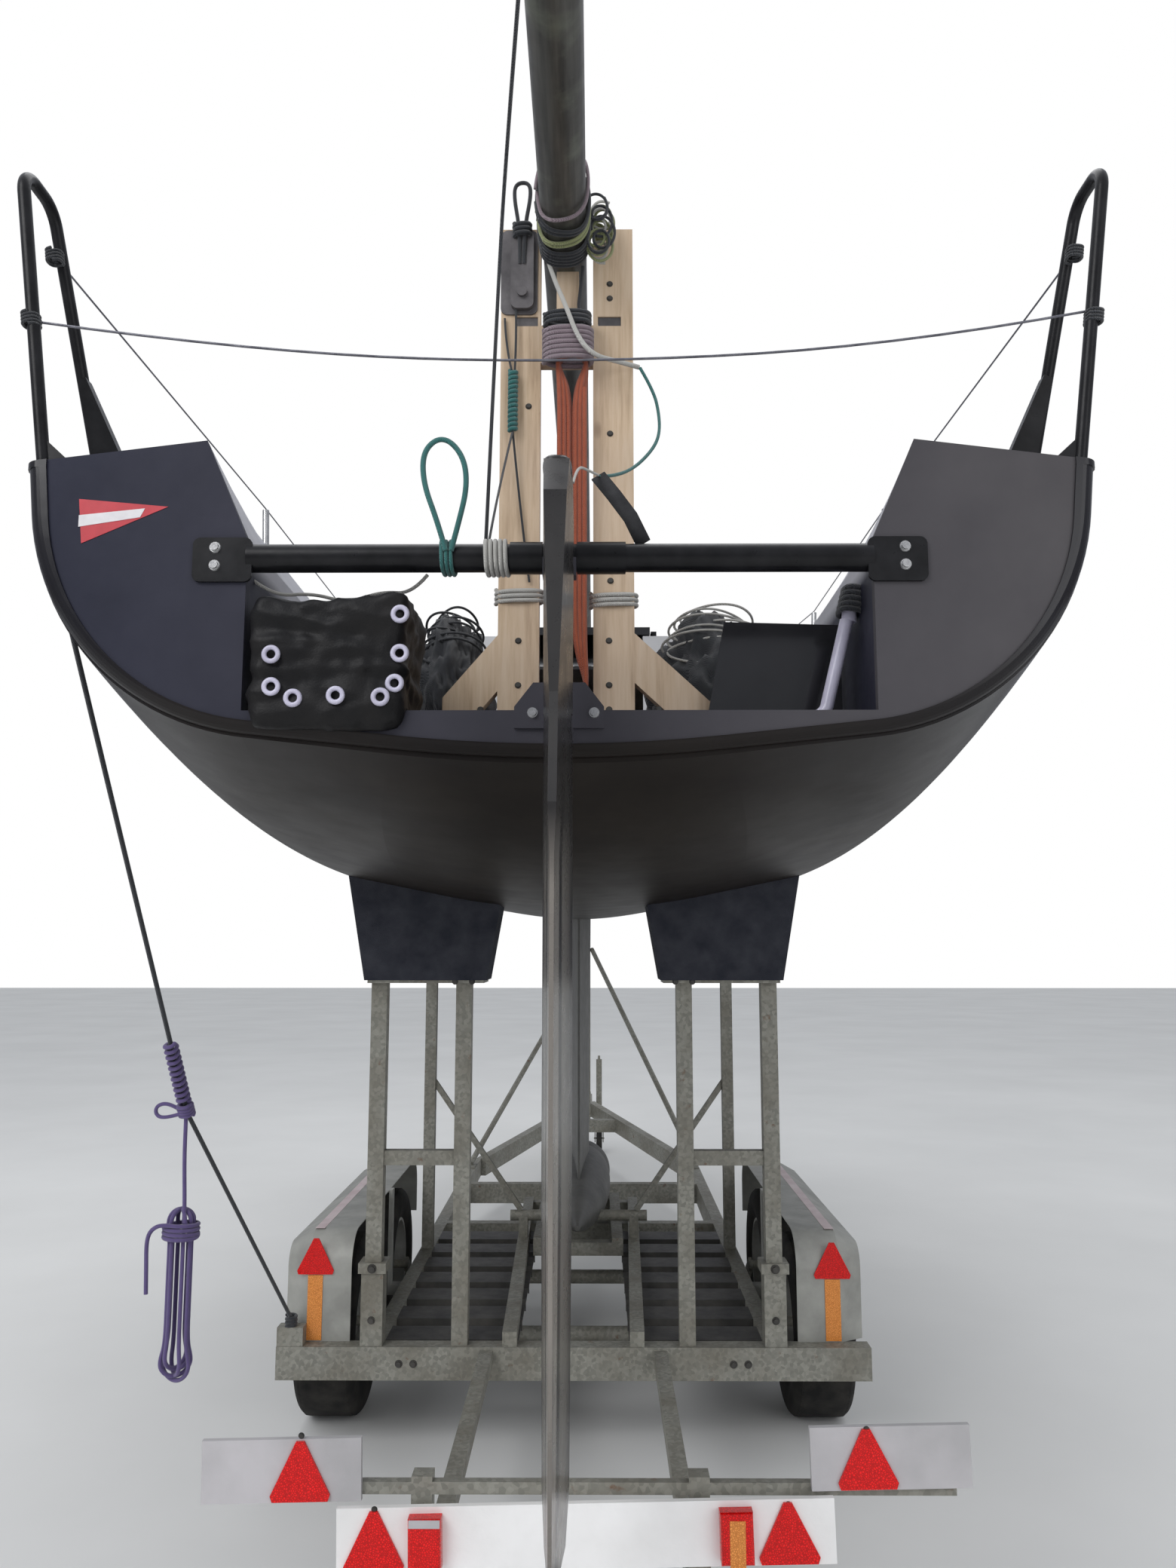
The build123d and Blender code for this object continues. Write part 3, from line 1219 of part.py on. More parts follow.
def tilted(shape, mid_z):
    """Turn a board and what is on it by the tilt seen from behind."""
    pivot = at(BOARD_SHIFT, 0, mid_z)
    return Pos(*pivot) * Rot(0, -BOARD_TILT, 0) * Pos(*[-v for v in pivot]) * shape


def board_layer(number):
    """Front and back planes of the layers that lie on each other behind the trailer."""
    back = BOARD_Y - number * BOARD_WALL
    return back - BOARD_WALL, back


def make_grey_boards():
    y0, y1 = board_layer(0)
    half = GREY_HEIGHT / 2
    boards = []
    for side in (-1, 1):
        outer = BOARD_SHIFT + side * GREY_REACH
        inner = BOARD_SHIFT + side * (GREY_REACH - GREY_LENGTH)
        boards.append(tilted(block(inner, outer, y0, y1, GREY_MID_Z - half, GREY_MID_Z + half), GREY_MID_Z))
    return group(boards)


def make_white_board():
    y0, y1 = board_layer(1)
    half = WHITE_HEIGHT / 2
    board = block(BOARD_SHIFT - WHITE_HALF, BOARD_SHIFT + WHITE_HALF, y0, y1, WHITE_MID_Z - half, WHITE_MID_Z + half)
    body = tilted(board, WHITE_MID_Z)
    for side in (-1, 1):
        x = side * TAIL_RAIL_X
        body = body + block(x - 20, x + 20, y1 - 2, BOARD_Y, WHITE_MID_Z - 40, WHITE_MID_Z + 40)
    return body


def triangle_plate(x, y_back, low_z, tilt_side=None):
    """An upright triangular reflector with cut corners; y_back is the plane that it lies on."""
    half, cut = TRIANGLE_SIDE / 2, 9.0
    high = TRIANGLE_SIDE * 0.88
    points = [(x - half + cut, low_z), (x + half - cut, low_z), (x + half - cut / 2, low_z + cut * 1.4),
              (x + cut, low_z + high), (x - cut, low_z + high), (x - half + cut / 2, low_z + cut * 1.4)]
    plate = extrude(Face(polygon_wire(points, y_back - TRIANGLE_WALL)), TRIANGLE_WALL, dir=(0, 1, 0))
    return plate if tilt_side is None else tilted(plate, tilt_side)


def make_triangles():
    grey_front, white_front = board_layer(0)[0], board_layer(1)[0]
    grey_low, white_low = GREY_MID_Z - GREY_HEIGHT / 2 + 3, WHITE_MID_Z - WHITE_HEIGHT / 2 + 3
    guard = BEAM_REAR_Y + 26.0
    return group([
        triangle_plate(-560.0, grey_front, grey_low, GREY_MID_Z),
        triangle_plate(640.0 + 20, grey_front, grey_low, GREY_MID_Z),
        triangle_plate(-396.0, white_front, white_low, WHITE_MID_Z),
        triangle_plate(486.0, white_front, white_low, WHITE_MID_Z),
        triangle_plate(-908.0, guard, 588.0),
        triangle_plate(907.0, guard, 576.0),
    ])


LAMP_ROWS = (-285.0, 374.0)
LAMP_SIZE = (70.0, 104.0, 34.0)


def make_lamps():
    """The two square tail lamps on the white board."""
    front = board_layer(1)[0]
    wide, high, deep = LAMP_SIZE
    lamps = []
    for x in LAMP_ROWS:
        body = block(x - wide / 2, x + wide / 2, front - deep, front, WHITE_MID_Z - high / 2, WHITE_MID_Z + high / 2)
        face = body.faces().sort_by(Axis.Y)[0]
        lamps.append(tilted(body.fillet(10, face.edges()), WHITE_MID_Z))
    return group(lamps)


LASH_EYE = (-1206.0, 318.0, 2800.0)
LASH_KNOT = (-1110.0, 1060.0, 1260.0)
LASH_DIAMETER = 13.0
LASH_FOOT_Z = BEAM_UNDER_Z + BEAM_HEIGHT + LASH_POST_HEIGHT + LASH_DIAMETER * 0.9 + SOFT_GAP
LASH_FOOT = (-BEAM_HALF + 44.0, BEAM_REAR_Y - 4.0, LASH_FOOT_Z)
LASH_HEAD = (-PUSHPIT_FOOT_X - 35.0, 378.0, 2872.0)


def make_lashing():
    """The taut rope from the rail's foot over the gunwale down to the beam's corner, with its knot."""
    places = (LASH_HEAD, LASH_EYE, LASH_KNOT, LASH_FOOT)
    rope = Pos(*at(*LASH_KNOT)) * Sphere(24)
    for start, end in zip(places, places[1:]):
        rope = rope + rod(start, end, LASH_DIAMETER)
    rope = rope + Pos(*at(*LASH_EYE)) * Sphere(LASH_DIAMETER / 2)
    return rope + Pos(*at(*LASH_FOOT)) * Sphere(LASH_DIAMETER * 0.9)


COIL_TOP_Z = 1019.0
COIL_FOOT_Z = 515.0
COIL_WIDTH = 120.0
COIL_DEPTH = 64.0
LINE_DIAMETER = 11.0


def make_hank_line():
    """The line that carries the hank, pulled straight by its weight."""
    x, y, z = LASH_KNOT
    return rod((x, y, COIL_TOP_Z), (x, y, z - 10), LINE_DIAMETER) - make_lashing()


def make_hank_coil():
    """The outer shape of the purple hank."""
    x, y = LASH_KNOT[:2]
    plane = Plane(origin=at(x, y, COIL_FOOT_Z))
    outline = RectangleRounded(COIL_WIDTH, COIL_DEPTH, COIL_DEPTH * 0.45)
    return extrude(plane * outline, COIL_TOP_Z - COIL_FOOT_Z)


BOW_POST_Y = 6900.0
BOW_POST_SIZE = 80.0


def make_bow_post():
    """The stem's post and its cross member between the drawbar's legs."""
    z = BEAM_UNDER_Z + BEAM_HEIGHT / 2
    half = BOW_POST_SIZE / 2
    post = block(-half, half, BOW_POST_Y - half, BOW_POST_Y + half, z, 2360.0)
    member = block(-RAIL_X, RAIL_X, BOW_POST_Y - half, BOW_POST_Y + half, z - 10, z + half * 2)
    ends = post + member - make_drawbar() - HULL_OUTER
    return max(ends.solids(), key=lambda part: part.volume)


save(HULL_SHELL, "hull_shell")
save(make_gunwale(), "gunwale")
save(make_transom_panel(), "transom_panel")
save(make_deck(), "deck")
save(make_tub(), "cockpit_tub")
save(make_bulkhead(), "cabin_bulkhead")
save(make_coachroof(), "coachroof")
save(make_windows(), "cabin_windows")
save(make_cabin_sole(), "cabin_sole")
save(make_hatch_frame(), "foredeck_hatch_frame")
save(make_foredeck_hatch(), "foredeck_hatch")
save(make_companion_hatch(), "companion_hatch")
save(make_hatch_runners(), "hatch_runners")
save(make_keel_fin(), "keel_fin")
save(bulb_body(), "keel_bulb")
save(make_rudder(), "rudder")
save(make_gudgeons(), "rudder_gudgeons")
save(make_cross_bar(), "stern_cross_bar")
save(group([make_pushpit(-1), make_pushpit(1)]), "pushpits")
save(make_stanchions(), "stanchions")
save(make_pulpit(), "pulpit")
save(make_mast(), "mast")
save(make_crutch(), "mast_crutch")
save(make_crutch_fittings(), "crutch_fittings")
save(make_bow_prop(), "mast_bow_prop")
save(make_bag(), "stern_bag")
save(make_rope_heaps(), "rope_heaps")
save(make_halyard_hank(), "halyard_hank")
save(make_washboard(), "washboard")
save(make_stowed_tube(), "stowed_tube")
save(make_lashing(), "lashing")
save(make_hank_line(), "hank_line")
save(make_hank_coil(), "hank_coil")
save(make_chassis(), "chassis_frame")
save(make_drawbar(), "drawbar")
save(make_coupling(), "coupling_head")
save(make_jockey_leg(), "jockey_leg")
save(make_jockey_wheel(), "jockey_wheel")
save(group([make_axle(place) for place in axle_places()]), "axles")
for label, side, place in WHEELS:
    save(make_tyre(side, place), "tyre_" + label)
    save(make_rim(side, place), "rim_" + label)
save(group([make_mudguard(-1), make_mudguard(1)]), "mudguards")
save(group([make_rear_tower(-1), make_rear_tower(1)]), "rear_supports")
save(group([make_forward_tower(-1), make_forward_tower(1)]), "forward_supports")
save(pair(make_pad(TOWER_Y, REAR_PAD)), "rear_pads")
save(pair(make_pad(FORWARD_POST_Y, FORWARD_PAD)), "forward_pads")
save(make_keel_cradle(), "keel_cradle")
save(make_slats(), "trailer_slats")
save(make_tail_rails(), "tail_rails")
save(make_grey_boards(), "light_boards_grey")
save(make_white_board(), "light_board_white")
save(make_triangles(), "warning_triangles")
save(make_lamps(), "tail_lamps")
save(make_bow_post(), "bow_post")
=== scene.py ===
import json
import math

import bmesh
import bpy
from mathutils import Matrix, Vector, noise


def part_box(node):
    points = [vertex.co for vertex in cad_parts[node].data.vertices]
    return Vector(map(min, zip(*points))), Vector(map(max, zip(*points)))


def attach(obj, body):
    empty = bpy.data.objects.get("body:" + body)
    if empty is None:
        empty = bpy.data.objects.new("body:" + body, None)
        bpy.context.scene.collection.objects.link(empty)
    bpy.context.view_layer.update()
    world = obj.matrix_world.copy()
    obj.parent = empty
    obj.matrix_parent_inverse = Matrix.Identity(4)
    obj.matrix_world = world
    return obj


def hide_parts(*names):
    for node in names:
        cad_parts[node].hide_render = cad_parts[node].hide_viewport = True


# Looks of a sports keelboat on its road trailer. Metres; places along the boat are measured
# forward from the transom plane, as in the part's source.
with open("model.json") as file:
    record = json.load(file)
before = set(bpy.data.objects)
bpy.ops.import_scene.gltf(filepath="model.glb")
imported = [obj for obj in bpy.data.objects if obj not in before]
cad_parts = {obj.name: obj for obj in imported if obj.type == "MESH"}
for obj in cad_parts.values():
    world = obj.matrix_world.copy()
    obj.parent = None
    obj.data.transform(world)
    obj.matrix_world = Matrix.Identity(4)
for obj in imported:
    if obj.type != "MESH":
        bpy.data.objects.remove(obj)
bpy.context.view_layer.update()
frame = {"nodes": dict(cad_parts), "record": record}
nodes = frame["nodes"]
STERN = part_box("hull_shell")[0].y
AFT = (0.0, -1.0, 0.0)
UP = (0.0, 0.0, 1.0)


def place(x, y, z):
    """A spot measured forward from the transom plane, in the frame."""
    return Vector((x, STERN + y, z))


# Camera at the photograph's viewpoint, fitted to its horizon and vanishing point

EYE = place(0.075, -2.44, 1.745)
PITCH = 7.667
YAW = 0.328
FOCAL = 27.0
FILM_HEIGHT = 36.0


def make_camera():
    data = bpy.data.cameras.new("camera")
    data.sensor_fit = "VERTICAL"
    data.sensor_height = FILM_HEIGHT
    data.lens = FOCAL
    data.clip_start = 0.05
    data.clip_end = 200.0
    camera = bpy.data.objects.new("camera", data)
    camera.location = EYE
    camera.rotation_euler = (math.radians(90 + PITCH), 0.0, math.radians(YAW))
    bpy.context.scene.collection.objects.link(camera)
    bpy.context.scene.camera = camera


# Materials

def new_material(name, rough=0.5, metal=0.0, coat=0.0, coat_rough=0.1, specular=0.5, sheen=0.0):
    made = bpy.data.materials.new(name)
    made.use_nodes = True
    shader = made.node_tree.nodes["Principled BSDF"]
    shader.inputs["Roughness"].default_value = rough
    shader.inputs["Metallic"].default_value = metal
    shader.inputs["Coat Weight"].default_value = coat
    shader.inputs["Coat Roughness"].default_value = coat_rough
    shader.inputs["Specular IOR Level"].default_value = specular
    shader.inputs["Sheen Weight"].default_value = sheen
    return made, made.node_tree, shader


def add(tree, kind, inputs=None, **settings):
    made = tree.nodes.new(kind)
    for key, value in settings.items():
        setattr(made, key, value)
    for key, value in (inputs or {}).items():
        if isinstance(value, bpy.types.NodeSocket):
            tree.links.new(value, made.inputs[key])
        else:
            made.inputs[key].default_value = value
    return made


def coordinates(tree, stretch=(1.0, 1.0, 1.0)):
    source = add(tree, "ShaderNodeTexCoord").outputs["Object"]
    return add(tree, "ShaderNodeMapping", {"Vector": source, "Scale": stretch}).outputs["Vector"]


def clouds(tree, scale, detail=4.0, stretch=(1.0, 1.0, 1.0), rough=0.55):
    settings = {"Vector": coordinates(tree, stretch), "Scale": scale, "Detail": detail, "Roughness": rough}
    return add(tree, "ShaderNodeTexNoise", settings).outputs["Fac"]


def ramp(tree, factor, *stops):
    """Colours by place: stops are (position, linear colour)."""
    made = add(tree, "ShaderNodeValToRGB", {"Fac": factor})
    elements = made.color_ramp.elements
    while len(elements) < len(stops):
        elements.new(0.5)
    for element, (position, colour) in zip(elements, stops):
        element.position = position
        element.color = (*colour, 1.0)
    return made.outputs["Color"]


def blend_colours(tree, factor, first, second):
    made = add(tree, "ShaderNodeMix", data_type="RGBA")
    for index, value in ((0, factor), (6, first), (7, second)):
        if isinstance(value, bpy.types.NodeSocket):
            tree.links.new(value, made.inputs[index])
        else:
            made.inputs[index].default_value = value if index == 0 else (*value, 1.0)
    return made.outputs[2]


def spread(tree, factor, low, high):
    inputs = {"Value": factor, "To Min": low, "To Max": high}
    return add(tree, "ShaderNodeMapRange", inputs).outputs["Result"]


def join(tree, shader, socket, value):
    tree.links.new(value, shader.inputs[socket])


def relief(tree, shader, height, depth, strength=1.0):
    inputs = {"Height": height, "Distance": depth, "Strength": strength}
    join(tree, shader, "Normal", add(tree, "ShaderNodeBump", inputs).outputs["Normal"])


def share_between(tree, axis, start, end, kind="Object"):
    """How far a spot lies between two places on an axis, as 0 to 1."""
    source = add(tree, "ShaderNodeTexCoord").outputs[kind]
    spot = add(tree, "ShaderNodeSeparateXYZ", {"Vector": source}).outputs[axis]
    inputs = {"Value": spot, "From Min": start, "From Max": end}
    return add(tree, "ShaderNodeMapRange", inputs).outputs["Result"]


def two_tone(tree, noise_value, dark, light):
    """Dark to light over the middle of a noise."""
    return ramp(tree, noise_value, (0.3, dark), (0.7, light))


def mask(tree, noise_value, start, end, most):
    """Black up to start, rising to a grey at end."""
    return ramp(tree, noise_value, (start, (0.0, 0.0, 0.0)), (end, (most, most, most)))


def cells(tree, scale, output="Distance", stretch=(1.0, 1.0, 1.0), feature="F1"):
    inputs = {"Vector": coordinates(tree, stretch), "Scale": scale}
    return add(tree, "ShaderNodeTexVoronoi", inputs, feature=feature).outputs[output]


def worn(name, dark, light, scale, rough, fine=60.0, depth=0.0006, band=0.12, **more):
    """A surface whose colour drifts between two tones, with fine relief and uneven gloss."""
    made, tree, shader = new_material(name, rough=rough, **more)
    join(tree, shader, "Base Color", two_tone(tree, clouds(tree, scale), dark, light))
    uneven = spread(tree, clouds(tree, fine * 0.5), max(rough - band, 0.03), rough + band)
    join(tree, shader, "Roughness", uneven)
    relief(tree, shader, clouds(tree, fine, 3.0), depth)
    return made


def hull_material():
    """Near-black gloss on the topsides; under the turn of the bilge a duller finish whose brown-black tint is
    a painted reflection of the ground.
    """
    dull_band_top, gloss_foot = 2.10, 2.42
    made, tree, shader = new_material("hull_gelcoat", rough=0.3, specular=0.4)
    # the bottom's brown tint is a painted reflection of the ground
    bottom_with_ground_reflection = two_tone(tree, clouds(tree, 3.0), (0.011, 0.0085, 0.0075), (0.020, 0.016, 0.013))
    topside = two_tone(tree, clouds(tree, 2.0), (0.010, 0.010, 0.013), (0.018, 0.017, 0.021))
    level = share_between(tree, "Z", dull_band_top, gloss_foot)
    join(tree, shader, "Base Color", blend_colours(tree, level, bottom_with_ground_reflection, topside))
    join(tree, shader, "Specular IOR Level", spread(tree, level, 0.12, 0.30))
    dirt = spread(tree, clouds(tree, 9.0, 6.0), -0.06, 0.08)
    dull = add(tree, "ShaderNodeMath", {0: spread(tree, level, 0.42, 0.16), 1: dirt}, operation="ADD")
    join(tree, shader, "Roughness", dull.outputs[0])
    relief(tree, shader, clouds(tree, 14.0, 2.0), 0.0008, 0.4)
    return made


def transom_material():
    """Matte slate whose colour runs from a blue-black painted shade on the left to a warm grey painted light
    on the right.
    """
    made, tree, shader = new_material("transom_coat", rough=0.55, specular=0.15)
    half_width = 1.2
    # painted light and shade: darker and bluer on the left, lighter and warmer on the right
    across = share_between(tree, "X", -half_width, half_width)
    painted_shade_left = two_tone(tree, clouds(tree, 5.0), (0.015, 0.017, 0.033), (0.023, 0.025, 0.045))
    painted_light_right = two_tone(tree, clouds(tree, 5.0), (0.078, 0.073, 0.078), (0.094, 0.088, 0.092))
    join(tree, shader, "Base Color", blend_colours(tree, across, painted_shade_left, painted_light_right))
    join(tree, shader, "Roughness", spread(tree, clouds(tree, 30.0), 0.45, 0.62))
    relief(tree, shader, clouds(tree, 160.0, 2.0), 0.0003, 0.5)
    return made


def pine_material():
    """Weathered pine: long grain, darker streaks and round knots."""
    made, tree, shader = new_material("pine", rough=0.62, specular=0.3)
    grain = clouds(tree, 16.0, 6.0, (3.0, 3.0, 0.22), 0.62)
    pale = ramp(tree, grain, (0.28, (0.38, 0.26, 0.155)), (0.5, (0.60, 0.45, 0.30)),
                (0.72, (0.70, 0.56, 0.41)))
    spots = cells(tree, 1.0, stretch=(5.0, 5.0, 2.6))
    knots = ramp(tree, spots, (0.045, (1.0, 1.0, 1.0)), (0.10, (0.0, 0.0, 0.0)))
    with_knots = blend_colours(tree, knots, pale, (0.16, 0.085, 0.045))
    stain = mask(tree, clouds(tree, 1.6, 3.0), 0.35, 0.75, 0.5)
    join(tree, shader, "Base Color", blend_colours(tree, stain, with_knots, (0.50, 0.40, 0.34)))
    relief(tree, shader, grain, 0.0012, 0.6)
    return made


def rope_material(name, dark, light):
    """Braided rope: slanting strands and a fuzzy surface."""
    made, tree, shader = new_material(name, rough=0.8, specular=0.2, sheen=0.3)
    lay = {"Vector": coordinates(tree), "Scale": 150.0, "Distortion": 1.5, "Detail": 1.0}
    wave = add(tree, "ShaderNodeTexWave", lay, wave_type="BANDS", bands_direction="DIAGONAL")
    strands = wave.outputs["Fac"]
    tone = ramp(tree, strands, (0.2, dark), (0.8, light))
    join(tree, shader, "Base Color", blend_colours(tree, clouds(tree, 40.0, 2.0), tone, light))
    relief(tree, shader, strands, 0.0012, 0.8)
    return made


def mast_material():
    """Weathered anodised alloy with long drawing marks and lichen-like stains."""
    made, tree, shader = new_material("mast_alloy", rough=0.42, metal=0.35)
    streaks = clouds(tree, 9.0, 5.0, (6.0, 0.35, 6.0))
    tone = two_tone(tree, streaks, (0.045, 0.044, 0.040), (0.115, 0.112, 0.100))
    stains = mask(tree, clouds(tree, 7.0, 6.0), 0.52, 0.66, 0.7)
    join(tree, shader, "Base Color", blend_colours(tree, stains, tone, (0.16, 0.17, 0.135)))
    join(tree, shader, "Roughness", spread(tree, clouds(tree, 25.0), 0.32, 0.6))
    relief(tree, shader, streaks, 0.0006, 0.5)
    return made


def galvanised_material():
    """Old galvanised steel: spangle, grey-beige dirt and a few rust spots."""
    made, tree, shader = new_material("galvanised", rough=0.55, metal=0.2, specular=0.4)
    spangle = ramp(tree, cells(tree, 90.0, "Color"), (0.2, (0.215, 0.212, 0.185)),
                   (0.8, (0.315, 0.308, 0.268)))
    dirt = mask(tree, clouds(tree, 5.0, 6.0), 0.42, 0.72, 0.75)
    dirty = blend_colours(tree, dirt, spangle, (0.165, 0.150, 0.118))
    rust = mask(tree, clouds(tree, 22.0, 5.0), 0.66, 0.74, 0.8)
    join(tree, shader, "Base Color", blend_colours(tree, rust, dirty, (0.15, 0.070, 0.035)))
    join(tree, shader, "Roughness", spread(tree, clouds(tree, 40.0), 0.42, 0.68))
    relief(tree, shader, clouds(tree, 90.0, 3.0), 0.0005, 0.6)
    return made


def reflector_material(name, dark, light):
    """Moulded lens with a fine honeycomb."""
    made, tree, shader = new_material(name, rough=0.25, specular=0.25, coat=0.2, coat_rough=0.05)
    honeycomb = cells(tree, 210.0, feature="DISTANCE_TO_EDGE")
    join(tree, shader, "Base Color", ramp(tree, honeycomb, (0.04, dark), (0.3, light)))
    relief(tree, shader, honeycomb, 0.001, 0.5)
    return made


def deck_material():
    """Pale gelcoat with a fine non-slip grain."""
    made, tree, shader = new_material("deck_white", rough=0.4, coat=0.2)
    pale = two_tone(tree, clouds(tree, 2.5), (0.55, 0.55, 0.56), (0.66, 0.66, 0.67))
    join(tree, shader, "Base Color", pale)
    relief(tree, shader, cells(tree, 260.0), 0.0006, 0.35)
    return made


def window_material():
    """Smoked pane that lets some light through."""
    made, tree, shader = new_material("window_glass", rough=0.06, coat=0.5)
    shader.inputs["Transmission Weight"].default_value = 0.55
    smoke = two_tone(tree, clouds(tree, 6.0), (0.03, 0.03, 0.035), (0.05, 0.05, 0.06))
    join(tree, shader, "Base Color", smoke)
    join(tree, shader, "Roughness", spread(tree, clouds(tree, 30.0), 0.04, 0.12))
    return made


def tyre_material():
    """Black rubber with grey dust in places."""
    made, tree, shader = new_material("tyre", rough=0.8, specular=0.25)
    dust = ramp(tree, clouds(tree, 12.0, 6.0), (0.35, (0.012, 0.012, 0.012)), (0.7, (0.040, 0.037, 0.033)))
    join(tree, shader, "Base Color", dust)
    relief(tree, shader, clouds(tree, 120.0, 3.0), 0.0006, 0.6)
    return made


def cockpit_material():
    """The cockpit liner: navy in the well, pale on the coamings' flare."""
    navy_top, pale_foot = 2.54, 2.58
    made, tree, shader = new_material("cockpit_liner", rough=0.5, specular=0.3)
    navy = two_tone(tree, clouds(tree, 6.0), (0.012, 0.013, 0.026), (0.020, 0.021, 0.038))
    pale = two_tone(tree, clouds(tree, 6.0), (0.42, 0.42, 0.46), (0.52, 0.52, 0.56))
    level = share_between(tree, "Z", navy_top, pale_foot)
    join(tree, shader, "Base Color", blend_colours(tree, level, navy, pale))
    join(tree, shader, "Roughness", spread(tree, clouds(tree, 30.0), 0.42, 0.6))
    return made


def rudder_material():
    """Dark lacquer whose lower blade carries pale bands along both faces beside a dark middle line, a painted
    reflection of the ground with painted highlights.
    """
    dark_foot, painted_reflection_top = 1.98, 1.84
    banded = 0.36
    made, tree, shader = new_material("rudder_carbon", rough=0.25, specular=0.35, coat=0.1)
    drawn_out = (1.0, 1.0, 0.3)
    dark = two_tone(tree, clouds(tree, 7.0, 4.0, drawn_out), (0.014, 0.013, 0.014), (0.034, 0.032, 0.031))
    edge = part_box("rudder")[0].y
    # painted reflection of the ground and painted highlights: pale bands across the blade's width beside a
    # dark middle line
    bands = ramp(tree, share_between(tree, "Y", edge, edge + banded),
                 (0.0, (0.22, 0.20, 0.18)), (0.20, (0.27, 0.25, 0.225)), (0.26, (0.015, 0.014, 0.014)),
                 (0.33, (0.015, 0.014, 0.014)), (0.40, (0.15, 0.14, 0.125)), (0.70, (0.10, 0.09, 0.08)),
                 (0.85, (0.02, 0.019, 0.018)))
    streak = mask(tree, clouds(tree, 4.0, 3.0, drawn_out), 0.45, 0.75, 0.8)
    patchy = blend_colours(tree, streak, bands, dark)
    low = share_between(tree, "Z", dark_foot, painted_reflection_top)
    join(tree, shader, "Base Color", blend_colours(tree, low, dark, patchy))
    join(tree, shader, "Roughness", spread(tree, clouds(tree, 20.0), 0.18, 0.4))
    return made


MATERIALS = {
    "hull_gelcoat": hull_material(),
    "transom_coat": transom_material(),
    "deck_white": deck_material(),
    "smoked_acrylic": worn("smoked_acrylic", (0.010, 0.010, 0.012), (0.020, 0.020, 0.023), 6.0, 0.2,
                           depth=0.0001, band=0.08, coat=0.5),
    "window_glass": window_material(),
    "keel_paint": worn("keel_paint", (0.075, 0.074, 0.070), (0.13, 0.128, 0.12), 6.0, 0.55),
    "rudder_carbon": rudder_material(),
    "stainless": worn("stainless", (0.42, 0.42, 0.42), (0.60, 0.60, 0.60), 30.0, 0.25, depth=0.0002,
                      metal=0.9),
    "black_tube": worn("black_tube", (0.006, 0.006, 0.007), (0.016, 0.016, 0.018), 14.0, 0.32,
                       depth=0.0002, specular=0.2),
    "mast_alloy": mast_material(),
    "pine": pine_material(),
    "bag_cloth": worn("bag_cloth", (0.005, 0.005, 0.006), (0.013, 0.012, 0.012), 9.0, 0.5, fine=240.0,
                      depth=0.0007, specular=0.22),
    "galvanised": galvanised_material(),
    "dark_steel": worn("dark_steel", (0.035, 0.034, 0.032), (0.085, 0.080, 0.072), 10.0, 0.55, metal=0.2),
    "tyre": tyre_material(),
    "rim_paint": worn("rim_paint", (0.30, 0.30, 0.28), (0.45, 0.45, 0.43), 14.0, 0.45, metal=0.4),
    "pad_foam": worn("pad_foam", (0.026, 0.028, 0.038), (0.052, 0.054, 0.066), 12.0, 0.85, fine=420.0,
                     depth=0.0015, specular=0.15),
    "board_grey": worn("board_grey", (0.42, 0.41, 0.42), (0.56, 0.54, 0.56), 5.0, 0.55),
    "board_white": worn("board_white", (0.82, 0.81, 0.80), (0.94, 0.93, 0.93), 5.0, 0.42),
    "lamp_red": reflector_material("lamp_red", (0.50, 0.003, 0.003), (0.95, 0.010, 0.010)),
    "lamp_amber": reflector_material("lamp_amber", (0.62, 0.20, 0.04), (0.92, 0.38, 0.09)),
    "rope_orange": rope_material("rope_orange", (0.22, 0.045, 0.020), (0.42, 0.105, 0.052)),
    "rope_purple": rope_material("rope_purple", (0.055, 0.038, 0.115), (0.150, 0.110, 0.280)),
    "rope_dark": rope_material("rope_dark", (0.010, 0.011, 0.013), (0.045, 0.048, 0.055)),
    "pale_tube": worn("pale_tube", (0.48, 0.46, 0.58), (0.60, 0.58, 0.72), 12.0, 0.35, coat=0.3),
}
ROPE_TEAL = rope_material("rope_teal", (0.012, 0.075, 0.075), (0.05, 0.19, 0.18))
ROPE_PALE = rope_material("rope_pale", (0.30, 0.29, 0.27), (0.58, 0.57, 0.54))
ROPE_GREEN = rope_material("rope_green", (0.06, 0.09, 0.03), (0.34, 0.36, 0.18))
ROPE_LILAC = rope_material("rope_lilac", (0.12, 0.085, 0.10), (0.30, 0.24, 0.27))
WIRE = worn("wire", (0.10, 0.10, 0.12), (0.20, 0.20, 0.23), 40.0, 0.4, metal=0.6, depth=0.0001)
STICKER_RED = worn("sticker_red", (0.42, 0.018, 0.030), (0.55, 0.028, 0.045), 20.0, 0.4, depth=0.0001)
STICKER_WHITE = worn("sticker_white", (0.62, 0.60, 0.62), (0.76, 0.74, 0.76), 20.0, 0.4, depth=0.0001)
# a pale pinkish sheet for the painted highlight along the mudguards' tops
HIGHLIGHT_PALE = worn("highlight_pale", (0.60, 0.48, 0.49), (0.78, 0.68, 0.69), 9.0, 0.5, depth=0.0001)
WEBBING = worn("webbing", (0.010, 0.010, 0.012), (0.026, 0.026, 0.029), 30.0, 0.75, fine=500.0, depth=0.0008)
ROPE_DARK = MATERIALS["rope_dark"]

NODE_FINISHES = {
    "mudguards": worn("guard_zinc", (0.27, 0.27, 0.25), (0.42, 0.42, 0.39), 8.0, 0.5, metal=0.2),
    "rudder_gudgeons": MATERIALS["transom_coat"],
    "crutch_fittings": worn("tarnished", (0.075, 0.070, 0.074), (0.150, 0.140, 0.145), 18.0, 0.55, metal=0.3),
    "cockpit_tub": cockpit_material(),
}


